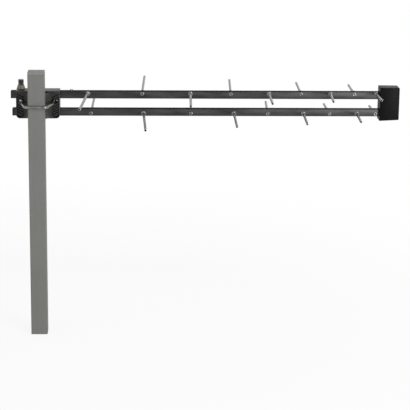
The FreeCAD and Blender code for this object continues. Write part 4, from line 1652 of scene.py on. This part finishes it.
    def nut(self, word: str, body: Body) -> None:
        """One hexagon nut, chamfered on both faces and threaded.

        Args:
            word: left or right.
            body: the body that it rides on.
        """
        low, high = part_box(word + "_nut")
        centre = (low + high) / 2
        thick = high.y - low.y
        corner = self.flats / math.sqrt(3.0)
        Workbench.clear()
        bpy.ops.mesh.primitive_cylinder_add(vertices=6, radius=corner, depth=thick)
        nut = bpy.context.active_object
        nut.name = word + "_hex_nut"
        flat_across_x = high.x - low.x < high.z - low.z
        nut.rotation_euler = (0.0, 0.0, 0.0 if flat_across_x else math.radians(30.0))
        nut.location = (0.0, 0.0, thick / 2)
        Workbench.settle(nut)
        face = self.flats / 2 * self.nut_face
        rim = corner * self.nut_corner
        chamfer = Workbench.turned("chamfer", [
            (0.0, 0.0), (0.0, face), (self.nut_cone, rim), (thick - self.nut_cone, rim),
            (thick, face), (thick, 0.0)], sides=2 * self.sides)
        Workbench.carve(nut, [chamfer], "INTERSECT")
        depth = self.nut_thread
        ripple = thread(self.pitch, depth, depth, thick - depth, depth)
        mouth = offset(0.0, self.nut_bore, self.tap_end)
        crest = self.nut_bore + self.tap_crest
        ways = rising(self.tap_start, thick - self.tap_start, self.pitch / self.nut_rings, crest)
        far = [(thick - height, radius) for height, radius in reversed(mouth)]
        tap = Workbench.turned("tap", [
            (mouth[0][0], 0.0), *mouth, *ways, *far, (far[-1][0], 0.0)], ripple=ripple)
        Workbench.carve(nut, [tap])
        Workbench.stand(nut, Vector((centre.x, low.y, centre.z)), Axis.Y.vector)
        Workbench.deliver(nut, self.finishes, body, Slot.ZINC, [word + "_nut"])


@dataclass
class FeedSocket:
    """The threaded coaxial socket on the clamp's top."""

    finishes: Finishes
    rim: float = 1.2 * MM
    cone: float = 6.0 * MM
    collar: float = 0.8 * MM
    collar_radius: float = 5.0 * MM
    cone_top: float = 5.6 * MM
    neck: float = 5.0 * MM
    bore: float = 3.3 * MM
    thread_radius: float = 4.7625 * MM
    thread_depth: float = 0.5 * MM
    pitch: float = 25.4 / 32.0 * MM
    thread_fade: float = 0.25 * MM
    rings: int = 6
    thread_lead: float = 0.4 * MM
    chamfer: float = 0.45 * MM
    foot_corner: Outline = ((0.0, -0.2), (0.2, 0.0))
    foot_edge: Outline = ((-0.25, 0.0), (0.0, -0.25))
    cone_edge: Outline = ((-0.3, 0.0), (0.0, -0.3))
    barrel_root: Outline = ((0.0, 0.0), (0.2, 0.0))
    mouth: Outline = ((0.0, 0.3), (-0.3, 0.0))
    collar_edge: float = 0.1 * MM
    sides: int = 48
    smooth_deg: float = 30.0

    def build(self) -> None:
        """A flared foot, a collar and a threaded barrel, bored right through."""
        low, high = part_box("socket_body")
        centre = (low + high) / 2
        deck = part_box("clamp_front_shell")[1].z - low.z
        top = high.z - low.z
        foot = high.x - centre.x
        cone_end = deck + self.rim + self.cone - self.collar
        barrel = cone_end + self.collar
        start, end = barrel + self.thread_lead, top - self.chamfer
        stations = [
            (0.0, self.bore), (0.0, self.neck), (deck, self.neck),
            *offset(deck, foot, self.foot_corner),
            *offset(deck + self.rim, foot, self.foot_edge),
            *offset(cone_end, self.cone_top, self.cone_edge),
            (cone_end, self.collar_radius), (barrel - self.collar_edge, self.collar_radius),
            *offset(barrel, self.thread_radius - self.thread_depth, self.barrel_root),
            *rising(start, end, self.pitch / self.rings, self.thread_radius),
            (top, self.thread_radius - self.chamfer),
            *offset(top, self.bore, self.mouth),
            (0.0, self.bore),
        ]
        ripple = thread(self.pitch, self.thread_depth, start, end, self.thread_fade)
        socket = Workbench.turned("feed_socket", stations, self.sides, ripple)
        Workbench.stand(socket, Vector((centre.x, centre.y, low.z)), Axis.Z.vector)
        Workbench.deliver(socket, self.finishes, Body.ANTENNA, Slot.SOCKET, ["socket_body"],
                          self.smooth_deg)


@dataclass
class FrontCap:
    """The moulded cap over the booms' front ends."""

    finishes: Finishes
    wall: float = 2.0 * MM
    edge: float = 1.4 * MM
    rim: float = 0.4 * MM
    top_draft_deg: float = 0.4
    bottom_draft_deg: float = 3.0

    def build(self) -> None:
        """A drafted box with rounded edges, open at the rear."""
        low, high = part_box("cap_shell")
        length = high.x - low.x
        cap = Workbench.block("front_cap", low, high)
        drafts = ((self.top_draft_deg, high.z, -1.0), (self.bottom_draft_deg, low.z, 1.0))
        for draft_deg, level, sign in drafts:
            drop = sign * length * math.tan(math.radians(draft_deg))
            Workbench.shift(cap, lambda place, _: at_level(place.x, high.x) and at_level(place.z, level),
                            (0.0, 0.0, drop))
        mouth = in_plane(Axis.X, low.x)
        Workbench.round_off(cap, lambda a, b: not mouth(a, b), self.edge, segments=4)
        Workbench.hollow(cap, facing(Axis.X), self.wall, (length - self.wall, 0.0, 0.0))
        Workbench.round_off(cap, mouth, self.rim, segments=2)
        Workbench.deliver(cap, self.finishes, Body.ANTENNA, Slot.CAP, ["cap_shell"])


def dress(node: str, material: bpy.types.Material) -> None:
    """Give a carried-over CAD node its finish.

    Args:
        node: the node's name.
        material: the finish.
    """
    mesh = frame["nodes"][node].data
    mesh.materials.clear()
    mesh.materials.append(material)
    LOG.info("dressed %s", node)


def main() -> None:
    """Build the antenna's looks."""
    logging.basicConfig(level=logging.INFO, format="%(message)s")
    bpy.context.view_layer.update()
    finishes = {finish.slot: finish.make() for finish in FINISHES}
    Studio().build()
    for part in frame["record"]["subparts"]:
        dress(part["node"], finishes[Slot(part["material_slot"])])
    for assembly in (MastHead, BoomPair, DipoleSet, ClampHousing, BowClamp, FeedSocket, FrontCap):
        assembly(finishes).build()


if __name__ == "__main__":
    main()
